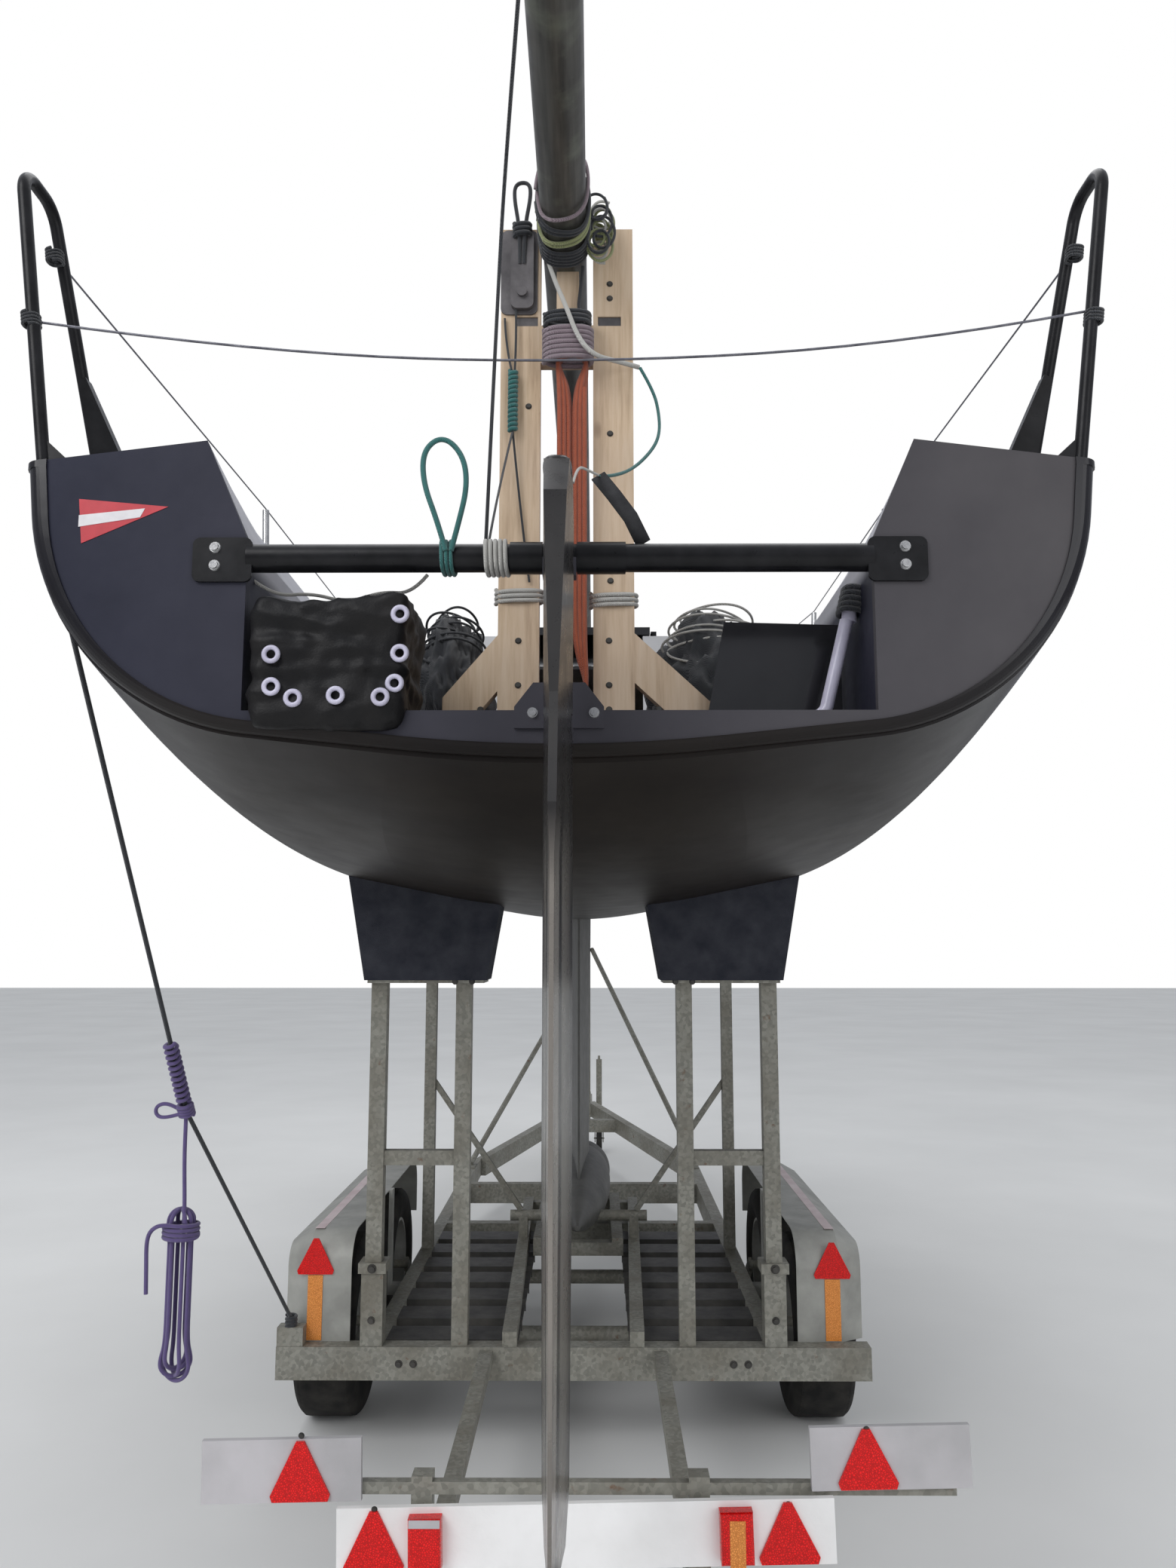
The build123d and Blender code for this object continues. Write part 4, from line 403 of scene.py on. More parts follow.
def dress_nodes():
    """Each carried-over node gets the material of its slot in the record, or a finish of its own."""
    for row in frame["record"]["subparts"]:
        node = nodes.get(row["node"])
        if node is None:
            continue
        node.data.materials.clear()
        node.data.materials.append(NODE_FINISHES.get(row["node"], MATERIALS[row["material_slot"]]))


# Shapes

def piece(name, mesh, finish, body="root"):
    made = bpy.data.objects.new(name, mesh)
    bpy.context.scene.collection.objects.link(made)
    mesh.materials.append(finish)
    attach(made, body)
    return made


def from_bmesh(name, work, finish, body="root", smooth=True):
    mesh = bpy.data.meshes.new(name)
    for face in work.faces:
        face.smooth = smooth
    work.to_mesh(mesh)
    work.free()
    return piece(name, mesh, finish, body)


def curve(name, points, diameter, finish, sides=4):
    """A round cord along one smooth line, with the points as its control points."""
    data = bpy.data.curves.new(name, "CURVE")
    data.dimensions = "3D"
    data.bevel_depth = diameter / 2
    data.bevel_resolution = sides // 2
    data.resolution_u = 6
    data.use_fill_caps = True
    line = data.splines.new("NURBS")
    line.points.add(len(points) - 1)
    for target, point in zip(line.points, points):
        target.co = (*point, 1.0)
    line.order_u = 3
    line.use_endpoint_u = True
    made = bpy.data.objects.new(name, data)
    bpy.context.scene.collection.objects.link(made)
    data.materials.append(finish)
    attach(made, "root")
    return made


def line_length(made):
    """Length of a curve's own line."""
    depth, made.data.bevel_depth = made.data.bevel_depth, 0.0
    bpy.context.view_layer.update()
    mesh = bpy.data.meshes.new_from_object(made.evaluated_get(bpy.context.evaluated_depsgraph_get()))
    spots = [vert.co for vert in mesh.vertices]
    total = sum((spots[a] - spots[b]).length for a, b in (edge.vertices for edge in mesh.edges))
    bpy.data.meshes.remove(mesh)
    made.data.bevel_depth = depth
    return total


def turned(axis):
    """Rotation that takes +Z to an axis."""
    return Vector(axis).normalized().to_track_quat("Z", "Y").to_matrix().to_4x4()


def bolt_heads(name, rows, finish, body="root", corners=6):
    """Bolt heads with washers; rows are (centre, axis, radius, height)."""
    work = bmesh.new()
    for centre, axis, radius, height in rows:
        for share_r, share_h, sides in ((1.35, 0.25, 20), (1.0, 1.0, corners)):
            raised = Matrix.Translation((0, 0, height * share_h / 2))
            spin = Matrix.Translation(centre) @ turned(axis) @ raised
            bmesh.ops.create_cone(work, cap_ends=True, segments=sides, radius1=radius * share_r,
                                  radius2=radius * share_r * 0.9, depth=height * share_h, matrix=spin)
    return from_bmesh(name, work, finish, body, smooth=False)


def ring(work, centre, axis, radius, thick):
    """A torus added to a mesh in the making."""
    spin = Matrix.Translation(centre) @ turned(axis)
    sides, tube_sides = 24, 8
    rows = []
    for i in range(sides):
        angle = 2 * math.pi * i / sides
        row = []
        for j in range(tube_sides):
            turn = 2 * math.pi * j / tube_sides
            reach = radius + thick * math.cos(turn)
            row.append(work.verts.new(spin @ Vector((reach * math.cos(angle), reach * math.sin(angle),
                                                     thick * math.sin(turn)))))
        rows.append(row)
    for i in range(sides):
        for j in range(tube_sides):
            here, there = rows[i], rows[(i + 1) % sides]
            k = (j + 1) % tube_sides
            work.faces.new((here[j], there[j], there[k], here[k]))


def strap(name, points, width, thick, side, finish):
    """Flat webbing through points; side is the direction of its width."""
    work = bmesh.new()
    across = Vector(side).normalized() * width / 2
    corners = ((-1, -1), (1, -1), (1, 1), (-1, 1))
    rows = []
    for i, point in enumerate(points):
        before, after = points[max(i - 1, 0)], points[min(i + 1, len(points) - 1)]
        run = (after - before).normalized()
        out = run.cross(across).normalized() * thick / 2
        rows.append([work.verts.new(point + a * across + b * out) for a, b in corners])
    for here, there in zip(rows, rows[1:]):
        for j in range(4):
            k = (j + 1) % 4
            work.faces.new((here[j], there[j], there[k], here[k]))
    work.faces.new(rows[0][::-1])
    work.faces.new(rows[-1])
    bmesh.ops.recalc_face_normals(work, faces=work.faces)
    return from_bmesh(name, work, finish)


def plate(name, outline, depth, normal, finish):
    """A flat plate from an outline, given depth along a normal."""
    work = bmesh.new()
    face = work.faces.new([work.verts.new(p) for p in outline])
    made = bmesh.ops.extrude_face_region(work, geom=[face])
    moved = [v for v in made["geom"] if isinstance(v, bmesh.types.BMVert)]
    bmesh.ops.translate(work, verts=moved, vec=Vector(normal).normalized() * depth)
    bmesh.ops.recalc_face_normals(work, faces=work.faces)
    return from_bmesh(name, work, finish, smooth=False)


def upright_corners(x0, x1, y, low, high):
    """Corners of an upright rectangle that faces aft."""
    return [Vector((x0, y, low)), Vector((x1, y, low)), Vector((x1, y, high)), Vector((x0, y, high))]


def flat_corners(x0, x1, y0, y1, z):
    """Corners of a level rectangle."""
    return [Vector((x0, y0, z)), Vector((x1, y0, z)), Vector((x1, y1, z)), Vector((x0, y1, z))]


# The two hanks and the lashing

KNOT = place(-1.110, 1.060, 1.260)
HANK_TOP = 1.019
HANK_FOOT = 0.515
PURPLE_DIAMETER = 0.012
HALYARD_DIAMETER = 0.012
FOLD_RADIUS = 0.036
HEAD_STEPS = ((0.0, 0.0, -0.012), (0.0, 0.0, -0.07), (0.002, -0.004, -0.14))
END_STEPS = (
    # from the last wrap, out to the left and straight down
    (-0.026, 0.001, 0.003), (-0.052, 0.002, 0.002), (-0.075, 0.004, -0.014), (-0.084, 0.006, -0.045),
    (-0.082, 0.008, -0.110), (-0.080, 0.010, -0.185),
)
PURPLE_TURNS = (
    # angle, low radius, waist, lift of the lower fold
    (-0.95, 0.038, 0.024, 0.016), (-0.40, 0.049, 0.034, 0.000), (0.05, 0.037, 0.022, 0.030),
    (0.45, 0.043, 0.030, 0.012), (1.00, 0.038, 0.030, 0.034),
)
HALYARD_WAISTS = (0.031, 0.020, 0.009, 0.026, 0.005, 0.015, 0.031, 0.010, 0.022)


def hank_outline(high, low, top_radius, low_radius, waist):
    """One loop of a hank: down one side, round the lower fold, up the other side and over the top fold."""
    fold = 6
    top, foot = high - top_radius, low + low_radius
    shares = (0.08, 0.3, 0.6, 0.88)
    points = [(waist, top + (foot - top) * share) for share in shares]
    for i in range(fold + 1):
        angle = -math.pi * i / fold
        points.append((low_radius * math.cos(angle), foot + low_radius * math.sin(angle)))
    points += [(-waist, foot + (top - foot) * (1 - share)) for share in reversed(shares)]
    for i in range(fold + 1):
        angle = math.pi * (1 - i / fold)
        points.append((top_radius * math.cos(angle), top + top_radius * math.sin(angle)))
    return points


def hank_loops(centre, high, low, turns, depth):
    """Points of a wound hank as one long line; each turn has an angle, a low radius, a waist and a lift."""
    rows = []
    for number, (angle, low_radius, waist, lift) in enumerate(turns):
        outline = hank_outline(high, low + lift, FOLD_RADIUS, low_radius, waist)
        for i, (x, z) in enumerate(outline):
            share = (number + i / len(outline)) / len(turns)
            y = x * math.sin(angle) + depth * (share - 0.5)
            rows.append(Vector((centre.x + x * math.cos(angle), centre.y + y, z)))
    return rows


def purple_wraps(high):
    """Turns round the hank's head, from its last loop to the front."""
    last_turn = PURPLE_TURNS[-1][0]
    start, stop = math.atan2(math.cos(last_turn), math.sin(last_turn)), 7 * math.pi
    steps, steps_a_turn = 41, 12
    wide, deep = 0.049, 0.044
    foot, drop = high - 0.084, 0.024
    pitch = PURPLE_DIAMETER * 1.05
    rows = []
    for step in range(steps + 1):
        angle = start + (stop - start) * step / steps
        z = foot + drop * math.exp(-0.9 * step) + pitch * step / steps_a_turn
        rows.append(Vector((KNOT.x + wide * math.sin(angle), KNOT.y + deep * math.cos(angle), z)))
    return rows


def make_purple_hank():
    """The tail of the lashing: straight down from the knot, wound into a hank, with its end beside it."""
    high, low = HANK_TOP - 0.030, HANK_FOOT + 0.006
    rows = [KNOT + Vector(step) for step in HEAD_STEPS]
    rows.append(Vector((KNOT.x + 0.014, KNOT.y - 0.020, high + 0.010)))
    rows += hank_loops(KNOT, high, low, PURPLE_TURNS, 0.0)
    rows += purple_wraps(high)
    rows += [rows[-1] + Vector(step) for step in END_STEPS]
    made = curve("purple_hank", rows, PURPLE_DIAMETER, MATERIALS["rope_purple"])
    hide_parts("hank_line", "hank_coil")
    line_length(made)


def make_halyard_hank():
    """The long hank of faded halyard between the crutch's uprights, gathered thick under its wraps."""
    low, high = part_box("halyard_hank")
    turns = [(0.0, FOLD_RADIUS, waist, 0.0) for waist in HALYARD_WAISTS]
    rows = hank_loops((low + high) / 2, high.z - 0.006, low.z + 0.006, turns, 0.036)
    made = curve("halyard_hank_rope", rows, HALYARD_DIAMETER, MATERIALS["rope_orange"])
    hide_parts("halyard_hank")
    line_length(made)


BOW_STEPS = (
    # the loop left standing out of the knot
    (-0.012, -0.012, 0.004), (-0.045, -0.018, 0.026), (-0.082, -0.014, 0.018), (-0.086, -0.010, -0.008),
    (-0.060, -0.012, -0.020), (-0.012, -0.014, -0.006),
)


def make_lashing():
    """The dark line over the gunwale, down to the purple knot and on to the beam's corner post."""
    foot = place(-0.980, 1.850, 0.450)
    high = place(-1.213, 0.175, 2.760)
    purple = MATERIALS["rope_purple"]
    rows = [place(-1.168, 0.386, 2.858), place(-1.196, 0.300, 2.852), place(-1.215, 0.180, 2.822), high,
            high.lerp(KNOT, 0.5), KNOT + Vector((-0.005, -0.04, 0.075)), KNOT, KNOT.lerp(foot, 0.06),
            KNOT.lerp(foot, 0.5), foot]
    made = curve("lashing_line", rows, 0.013, ROPE_DARK, sides=8)
    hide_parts("lashing")
    run = (high - KNOT).normalized()
    hitch, knot = KNOT + run * 0.135, KNOT + run * 0.006
    coil_round("lashing_hitch", hitch, run, (0.015, 0.015), 11, 0.0185, 0.012, purple)
    coil_round("lashing_knot", knot, run, (0.018, 0.018), 4, 0.010, 0.012, purple)
    curve("lashing_bow", [KNOT + Vector(step) for step in BOW_STEPS], 0.011, purple)
    last_turns = foot + Vector((0.0, 0.0, -0.006))
    coil_round("foot_turns", last_turns, UP, (0.016, 0.016), 3, 0.012, 0.012, ROPE_DARK)


def coil_round(name, centre, axis, radii, turns, pitch, diameter, finish):
    """Tight turns round a post or a bar, squared towards its corners."""
    spin = Matrix.Translation(centre) @ turned(axis)
    wide, deep = radii
    power = 0.75
    steps = 14
    rows = []
    for step in range(turns * steps + 1):
        angle = 2 * math.pi * step / steps
        c, s = math.cos(angle), math.sin(angle)
        x = wide * math.copysign(abs(c) ** power, c)
        y = deep * math.copysign(abs(s) ** power, s)
        rows.append(spin @ Vector((x, y, pitch * (step / steps - turns / 2))))
    return curve(name, rows, diameter, finish)


# Floor, world and lamps

WORLD_LIGHT = 0.62


def make_floor():
    half = 40.0
    mesh = bpy.data.meshes.new("floor")
    mesh.from_pydata(flat_corners(-half, half, -half, half, 0.0), [], [(0, 1, 2, 3)])
    made, tree, shader = new_material("floor", rough=0.9, specular=0.1)
    grey = two_tone(tree, clouds(tree, 0.6, 5.0), (0.74, 0.74, 0.735), (0.80, 0.80, 0.795))
    join(tree, shader, "Base Color", grey)
    mesh.materials.append(made)
    floor = bpy.data.objects.new("floor", mesh)
    bpy.context.scene.collection.objects.link(floor)


def make_world():
    """White to the camera, a soft grey as light, and in reflections a sky that pales upwards."""
    world = bpy.data.worlds.new("world")
    bpy.context.scene.world = world
    world.use_nodes = True
    tree = world.node_tree
    light = tree.nodes["Background"]
    light.inputs["Color"].default_value = (0.93, 0.96, 1.0, 1.0)
    light.inputs["Strength"].default_value = WORLD_LIGHT
    rise = share_between(tree, "Z", -1.0, 1.0, "Generated")
    sky = ramp(tree, rise, (0.45, (0.12, 0.11, 0.10)), (0.56, (0.26, 0.27, 0.30)),
               (1.0, (0.85, 0.88, 0.95)))
    mirrored = add(tree, "ShaderNodeBackground", {"Color": sky, "Strength": 1.0})
    shown = add(tree, "ShaderNodeBackground", {"Color": (1.0, 1.0, 1.0, 1.0), "Strength": 1.0})
    rays = add(tree, "ShaderNodeLightPath")
    direct = {0: rays.outputs["Is Camera Ray"], 1: rays.outputs["Is Transmission Ray"]}
    seen = add(tree, "ShaderNodeMath", direct, operation="MAXIMUM")
    choice = {0: rays.outputs["Is Glossy Ray"], 1: light.outputs[0], 2: mirrored.outputs[0]}
    lit = add(tree, "ShaderNodeMixShader", choice)
    mixed = add(tree, "ShaderNodeMixShader", {0: seen.outputs[0], 1: lit.outputs[0], 2: shown.outputs[0]})
    tree.links.new(mixed.outputs[0], tree.nodes["World Output"].inputs["Surface"])


LAMP_ROWS = (
    # name, place, aim, size, watts
    ("key", (-5.0, -6.0, 8.0), (0.0, 1.0, 2.0), 6.0, 420.0),
    ("fill", (6.0, -7.0, 4.0), (0.0, 0.5, 2.0), 6.0, 160.0),
    ("top", (0.0, 4.0, 11.0), (0.0, 4.0, 2.0), 8.0, 260.0),
)


def make_lamps():
    for name, spot, aim, size, watts in LAMP_ROWS:
        data = bpy.data.lights.new(name, "AREA")
        data.shape = "DISK"
        data.size = size
        data.energy = watts
        lamp = bpy.data.objects.new(name, data)
        lamp.location = place(*spot)
        lamp.rotation_mode = "QUATERNION"
        lamp.rotation_quaternion = (place(*aim) - lamp.location).to_track_quat("-Z", "Y")
        bpy.context.scene.collection.objects.link(lamp)


# Stern fittings

# y of the wooden crutch's aft face, and the screws in it
CRUTCH_FACE = 0.341
CRUTCH_SCREWS = (
    # x, z
    (0.114, 3.396), (0.114, 3.357), (0.114, 2.998), (0.114, 2.62), (-0.089, 3.07), (-0.11, 2.36),
    (-0.11, 2.30), (-0.11, 2.47), (0.11, 2.36), (0.11, 2.30), (0.11, 2.47), (-0.20, 2.30), (0.23, 2.30),
)


def make_stern_bolts():
    """Bolts in the bar's end plates and the rudder's gudgeons, and dark screws in the crutch."""
    face, plate_x, plate_z = -0.003, 0.742, (2.588, 2.548)
    gudgeon_x, gudgeon_z = (-0.056, 0.074), 2.225
    rows = [(place(side * plate_x, face, z), AFT, 0.0095, 0.008) for side in (-1, 1) for z in plate_z]
    rows += [(place(x, face, gudgeon_z), AFT, 0.009, 0.008) for x in gudgeon_x]
    bolt_heads("stern_bolts", rows, MATERIALS["stainless"], corners=16)
    dark = [(place(x, CRUTCH_FACE, z), AFT, 0.006, 0.005) for x, z in CRUTCH_SCREWS]
    bolt_heads("crutch_screws", dark, MATERIALS["dark_steel"], corners=12)


PENNANT = (
    # x, z of the corners on the transom
    (-1.045, 2.700), (-0.850, 2.682), (-1.035, 2.600),
)


def make_pennant():
    """A plain red pennant with one white bar."""
    y = 0.0046
    outline = [place(x, y, z) for x, z in PENNANT]
    plate("pennant_red", outline, 0.0008, AFT, STICKER_RED)
    (x0, z0), (x1, z1), (x2, z2) = PENNANT
    hoist_x, hoist_z = (x0 + x2) / 2 - 0.003, (z0 + z2) / 2
    bar = [(hoist_x, hoist_z + 0.013), (x1 - 0.050, z1 - 0.004), (x1 - 0.060, z1 - 0.024),
           (hoist_x, hoist_z - 0.013)]
    corners = [place(x, y - 0.0009, z) for x, z in bar]
    plate("pennant_white", corners, 0.0008, AFT, STICKER_WHITE)


BAG_EYELETS = (
    # x, z on the bag's front
    (-0.603, 2.343), (-0.602, 2.275), (-0.556, 2.251), (-0.465, 2.255), (-0.372, 2.252),
    (-0.345, 2.284), (-0.335, 2.431), (-0.336, 2.349),
)
EYELET_RADIUS = 0.021


def bag_spot(p, middle, size):
    """A point of the bag's skin from a point of a rounded cube, with its wrinkles and its sunken top."""
    spot = middle + Vector((p.x * size.x * 1.01, p.y * size.y * 0.97, p.z * size.z * 0.97))
    wrinkle = noise.fractal(spot * 8.0, 1.0, 2.0, 4) * 0.011
    crease = -0.020 * abs(noise.noise(Vector((spot.x * 5.0, spot.y * 4.0, spot.z * 17.0))))
    crease -= 0.010 * abs(noise.noise(spot * 21.0))
    spot += p.normalized() * (wrinkle + crease)
    top = max(p.z, 0.0)
    spot.z -= 0.030 * top * (1.0 - abs(p.x)) + 0.012 * top
    return spot


def make_bag():
    """A sagging bag of coated cloth with a lumpy front, its lower edge over the sill."""
    low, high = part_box("stern_bag")
    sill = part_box("transom_panel")[0].y
    tub_wall, clear = 0.014, 0.002
    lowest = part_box("cockpit_tub")[0].z + tub_wall + 2 * clear
    power = 9.0
    work = bmesh.new()
    bmesh.ops.create_cube(work, size=2.0)
    bmesh.ops.subdivide_edges(work, edges=work.edges, cuts=39, use_grid_fill=True)
    for vert in work.verts:
        p = vert.co.copy()
        p /= (abs(p.x) ** power + abs(p.y) ** power + abs(p.z) ** power) ** (1 / power)
        spot = bag_spot(p, (low + high) / 2, (high - low) * 0.5)
        if spot.y > sill - clear:
            spot.z = max(spot.z, lowest)
        vert.co = spot
    made = from_bmesh("stern_bag_shell", work, MATERIALS["bag_cloth"])
    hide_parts("stern_bag")
    return made


def make_eyelets(bag):
    """Pale metal eyelets pressed into the bag's front."""
    work = bmesh.new()
    front = [v.co for v in bag.data.vertices if v.co.y < STERN + 0.05]
    for x, z in BAG_EYELETS:
        around = [v.y for v in front if math.hypot(v.x - x, v.z - z) < EYELET_RADIUS]
        centre = Vector((x, min(around, default=STERN), z))
        ring(work, centre, AFT, EYELET_RADIUS * 0.7, 0.0055)
    from_bmesh("bag_eyelets", work, MATERIALS["pale_tube"])


def make_rudder_cap():
    """The rounded top of the rudder's head."""
    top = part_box("rudder")[1].z
    crown = [v.co for v in nodes["rudder"].data.vertices if v.co.z > top - 0.005]
    low, high = Vector(map(min, zip(*crown))), Vector(map(max, zip(*crown)))
    middle, half = (low + high) / 2, (high - low) / 2
    power = 4.0
    work = bmesh.new()
    made = bmesh.ops.create_uvsphere(work, u_segments=32, v_segments=16, radius=1.0)
    for vert in made["verts"]:
        p = vert.co.copy()
        flat = math.hypot(p.x, p.y)
        square = flat / max((abs(p.x) ** power + abs(p.y) ** power) ** (1 / power), 1e-6)
        x, y = middle.x + p.x * square * half.x, middle.y + p.y * square * half.y
        vert.co = Vector((x, y, top + p.z * 0.024))
    from_bmesh("rudder_cap", work, MATERIALS["rudder_carbon"], "rudder")


# Wires at the rails, and ropes round the mast, the crutch and the bar

LIFELINE_ROWS = (
    # x, y, z of the wire at the rails and stanchions
    (1.232, 0.225, 3.392), (1.191, 1.90, 3.40), (1.196, 3.40, 3.42), (1.02, 4.90, 3.46), (0.34, 6.82, 3.36),
)
RAIL_TIES = ((1.2005, 0.053, 3.141), (1.2335, 0.210, 3.392))
MAST_LINE = ((-0.107, -0.20, 3.371), (-0.133, -0.05, 3.194), (-0.161, 0.02, 2.606))
GUARD_LINE = (
    (-1.194, 0.058, 3.141), (-0.7, 0.064, 3.070), (0.0, 0.066, 3.040), (0.75, 0.064, 3.078),
    (1.196, 0.058, 3.160),
)


def make_lines():
    """The line at the mast's end, the wires across the stern and along both sides, and their ties."""
    mast_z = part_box("mast")[0].z
    aft_line = [place(-0.058, -0.56, mast_z - 0.004)] + [place(*spot) for spot in MAST_LINE]
    curve("mast_line", aft_line, 0.008, ROPE_DARK)
    curve("stern_guard_line", [place(*spot) for spot in GUARD_LINE], 0.006, WIRE)
    for side, label in ((-1, "port"), (1, "starboard")):
        points = [place(side * x, y, z) for x, y, z in LIFELINE_ROWS]
        for number, (start, end) in enumerate(zip(points, points[1:])):
            name = "lifeline_%s_%d" % (label, number)
            curve(name, [start, (start + end) / 2, end], 0.005, WIRE)
        for number, (x, y, z) in enumerate(RAIL_TIES):
            coil_round("rail_tie_%s_%d" % (label, number), place(side * x, y, z), (side * 0.12, 0, 1),
                       (0.018, 0.018), 4, 0.008, 0.007, ROPE_DARK)


BAR_Y, BAR_Z = 0.020, 2.570
MAST_WRAPS = (
    # y, turns, lean, finish
    (0.275, 5, 0.0, ROPE_DARK), (0.210, 2, 0.2, ROPE_GREEN), (0.165, 2, -0.15, ROPE_DARK),
    (0.110, 1, 0.25, ROPE_LILAC),
)


def make_wraps():
    """Turns of line that hold the hanks, the mast, the uprights and the bar."""
    low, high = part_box("mast_crutch")
    upright_y = (low.y + high.y) / 2 - STERN
    low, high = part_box("halyard_hank")
    hank_x, hank_y = (low.x + high.x) / 2, (low.y + high.y) / 2 - STERN
    coil_round("hank_wraps", place(hank_x - 0.010, hank_y - 0.020, 3.205), UP, (0.060, 0.035), 7, 0.0125,
               0.012, ROPE_LILAC)
    coil_round("hank_tie", place(hank_x - 0.012, hank_y - 0.018, 3.276), UP, (0.057, 0.032), 3, 0.011,
               0.010, ROPE_DARK)
    for number, (y, turns, lean, finish) in enumerate(MAST_WRAPS):
        coil_round("mast_wrap_%d" % number, place(0.0, y, 3.505), (lean, 1, 0), (0.064, 0.084), turns, 0.013,
                   0.009, finish)
    for number, x in enumerate((-0.110, 0.122)):
        coil_round("upright_tie_%d" % number, place(x, upright_y, 2.585 - 0.01 * number), UP, (0.057, 0.026),
                   3, 0.012, 0.011, ROPE_PALE)
    along_bar = (1, 0, 0)
    coil_round("bar_wrap", place(-0.137, BAR_Y, BAR_Z), along_bar, (0.036, 0.036), 5, 0.0105, 0.010,
               ROPE_PALE)
    coil_round("tube_knot", place(0.664, 0.168, 2.515), (0.25, 0, 1), (0.034, 0.026), 5, 0.013, 0.013,
               ROPE_DARK)
    coil_round("bar_teal_wrap", place(-0.243, BAR_Y, BAR_Z), along_bar, (0.035, 0.035), 3, 0.010, 0.009,
               ROPE_TEAL)


LOOPS = (
    # name, diameter, finish, points
    ("teal_loop", 0.012, ROPE_TEAL, (
        (-0.243, -0.018, 2.575), (-0.262, -0.022, 2.640), (-0.292, -0.024, 2.720), (-0.296, -0.022, 2.790),
        (-0.268, -0.018, 2.826), (-0.236, -0.016, 2.822), (-0.206, -0.014, 2.780), (-0.200, -0.012, 2.720),
        (-0.214, -0.012, 2.650), (-0.232, -0.016, 2.575))),
    ("teal_tail", 0.008, ROPE_TEAL, (
        (0.189, 0.330, 3.165), (0.222, 0.320, 3.100), (0.234, 0.300, 3.028), (0.233, 0.275, 2.965),
        (0.214, 0.250, 2.915), (0.168, 0.200, 2.848), (0.118, 0.110, 2.792), (0.085, 0.056, 2.770))),
    ("bar_line", 0.008, ROPE_PALE, (
        (-0.690, 0.062, 2.545), (-0.640, 0.090, 2.506), (-0.560, 0.115, 2.522), (-0.480, 0.120, 2.500),
        (-0.400, 0.110, 2.524), (-0.330, 0.085, 2.510), (-0.292, 0.058, 2.545))),
)


def make_loops():
    for name, diameter, finish, points in LOOPS:
        rows = [place(*p) for p in points]
        made = curve(name, rows, diameter, finish)
        line_length(made)


TIGHT_LINES = (
    # name, diameter, finish, points
    ("pale_line", 0.012, ROPE_PALE, (
        (-0.065, 0.332, 3.53), (-0.030, 0.310, 3.40), (0.004, 0.260, 3.295), (0.036, 0.250, 3.200),
        (0.075, 0.250, 3.156), (0.130, 0.300, 3.168), (0.186, 0.332, 3.168))),
    ("upright_line_0", 0.006, ROPE_DARK, (
        (-0.150, 0.334, 3.300), (-0.146, 0.333, 3.220), (-0.131, 0.323, 3.157))),
    ("upright_line_1", 0.006, ROPE_DARK, (
        (-0.122, 0.330, 3.330), (-0.120, 0.330, 3.240), (-0.123, 0.323, 3.157))),
    ("upright_line_2", 0.006, ROPE_DARK, (
        (-0.127, 0.323, 2.997), (-0.150, 0.200, 2.800), (-0.155, 0.030, 2.612))),
    ("upright_line_3", 0.006, ROPE_DARK, (
        (-0.127, 0.323, 2.997), (-0.108, 0.334, 2.800), (-0.084, 0.334, 2.615))),
    ("head_line", 0.006, ROPE_PALE, (
        (0.030, -0.066, 2.706), (0.038, -0.040, 2.754), (0.060, 0.005, 2.764), (0.083, 0.054, 2.772))),
    ("tangle_tail", 0.010, ROPE_DARK, (
        (0.046, 0.322, 3.432), (0.041, 0.326, 3.370), (0.033, 0.326, 3.310), (0.058, 0.316, 3.275))),
)
STRAP = ((0.083, 0.058, 2.772), (0.118, 0.045, 2.722), (0.154, 0.036, 2.668), (0.182, 0.030, 2.606))


def make_tight_lines():
    for name, diameter, finish, points in TIGHT_LINES:
        curve(name, [place(*p) for p in points], diameter, finish)
    coil_round("teal_hitch", place(-0.127, 0.323, 3.077), UP, (0.008, 0.008), 13, 0.0122, 0.011, ROPE_TEAL)
    strap("bar_strap", [place(*p) for p in STRAP], 0.034, 0.004, (0.85, 0.0, 0.53), WEBBING)


TANGLE_STEPS = 54
TANGLE_DIAMETER = 0.007


def make_tangle():
    """Thin green and pale lines bunched between the mast and the right upright, each one long cord."""
    for number, finish in enumerate((ROPE_GREEN, ROPE_PALE, ROPE_GREEN, ROPE_DARK)):
        centre = place(0.088, 0.292 - 0.012 * number, 3.500)
        rows = []
        for step in range(TANGLE_STEPS):
            turn = step * 0.55
            reach = 0.026 + 0.005 * math.sin(turn * 0.41 + number)
            x = reach * math.cos(turn + number) + 0.010 * math.sin(turn * 0.17 + number * 2.0)
            z = reach * 1.25 * math.sin(turn + number) + 0.050 * math.sin(turn * 0.12 + number * 1.6)
            y = 0.008 * math.sin(turn * 0.21 + number * 1.7)
            rows.append(centre + Vector((x, y, z)))
        made = curve("tangle_%d" % number, rows, TANGLE_DIAMETER, finish)
        line_length(made)


def make_bracket_loop():
    """The black line that stands up over the sheave bracket, tied at its foot."""
    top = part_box("crutch_fittings")[1].z
    peak = top + 0.108
    rows = [place(-0.112, 0.322, top - 0.10), place(-0.113, 0.318, top - 0.01),
            place(-0.128, 0.312, peak - 0.035), place(-0.124, 0.306, peak),
            place(-0.090, 0.304, peak + 0.002), place(-0.084, 0.308, peak - 0.03),
            place(-0.102, 0.316, top - 0.01), place(-0.101, 0.322, top - 0.10)]
    curve("bracket_loop", rows, 0.010, ROPE_DARK)
    coil_round("bracket_knot", place(-0.107, 0.322, top - 0.008), UP, (0.020, 0.014), 3, 0.012, 0.012,
               ROPE_DARK)


# Soft heaps of rope in the cockpit

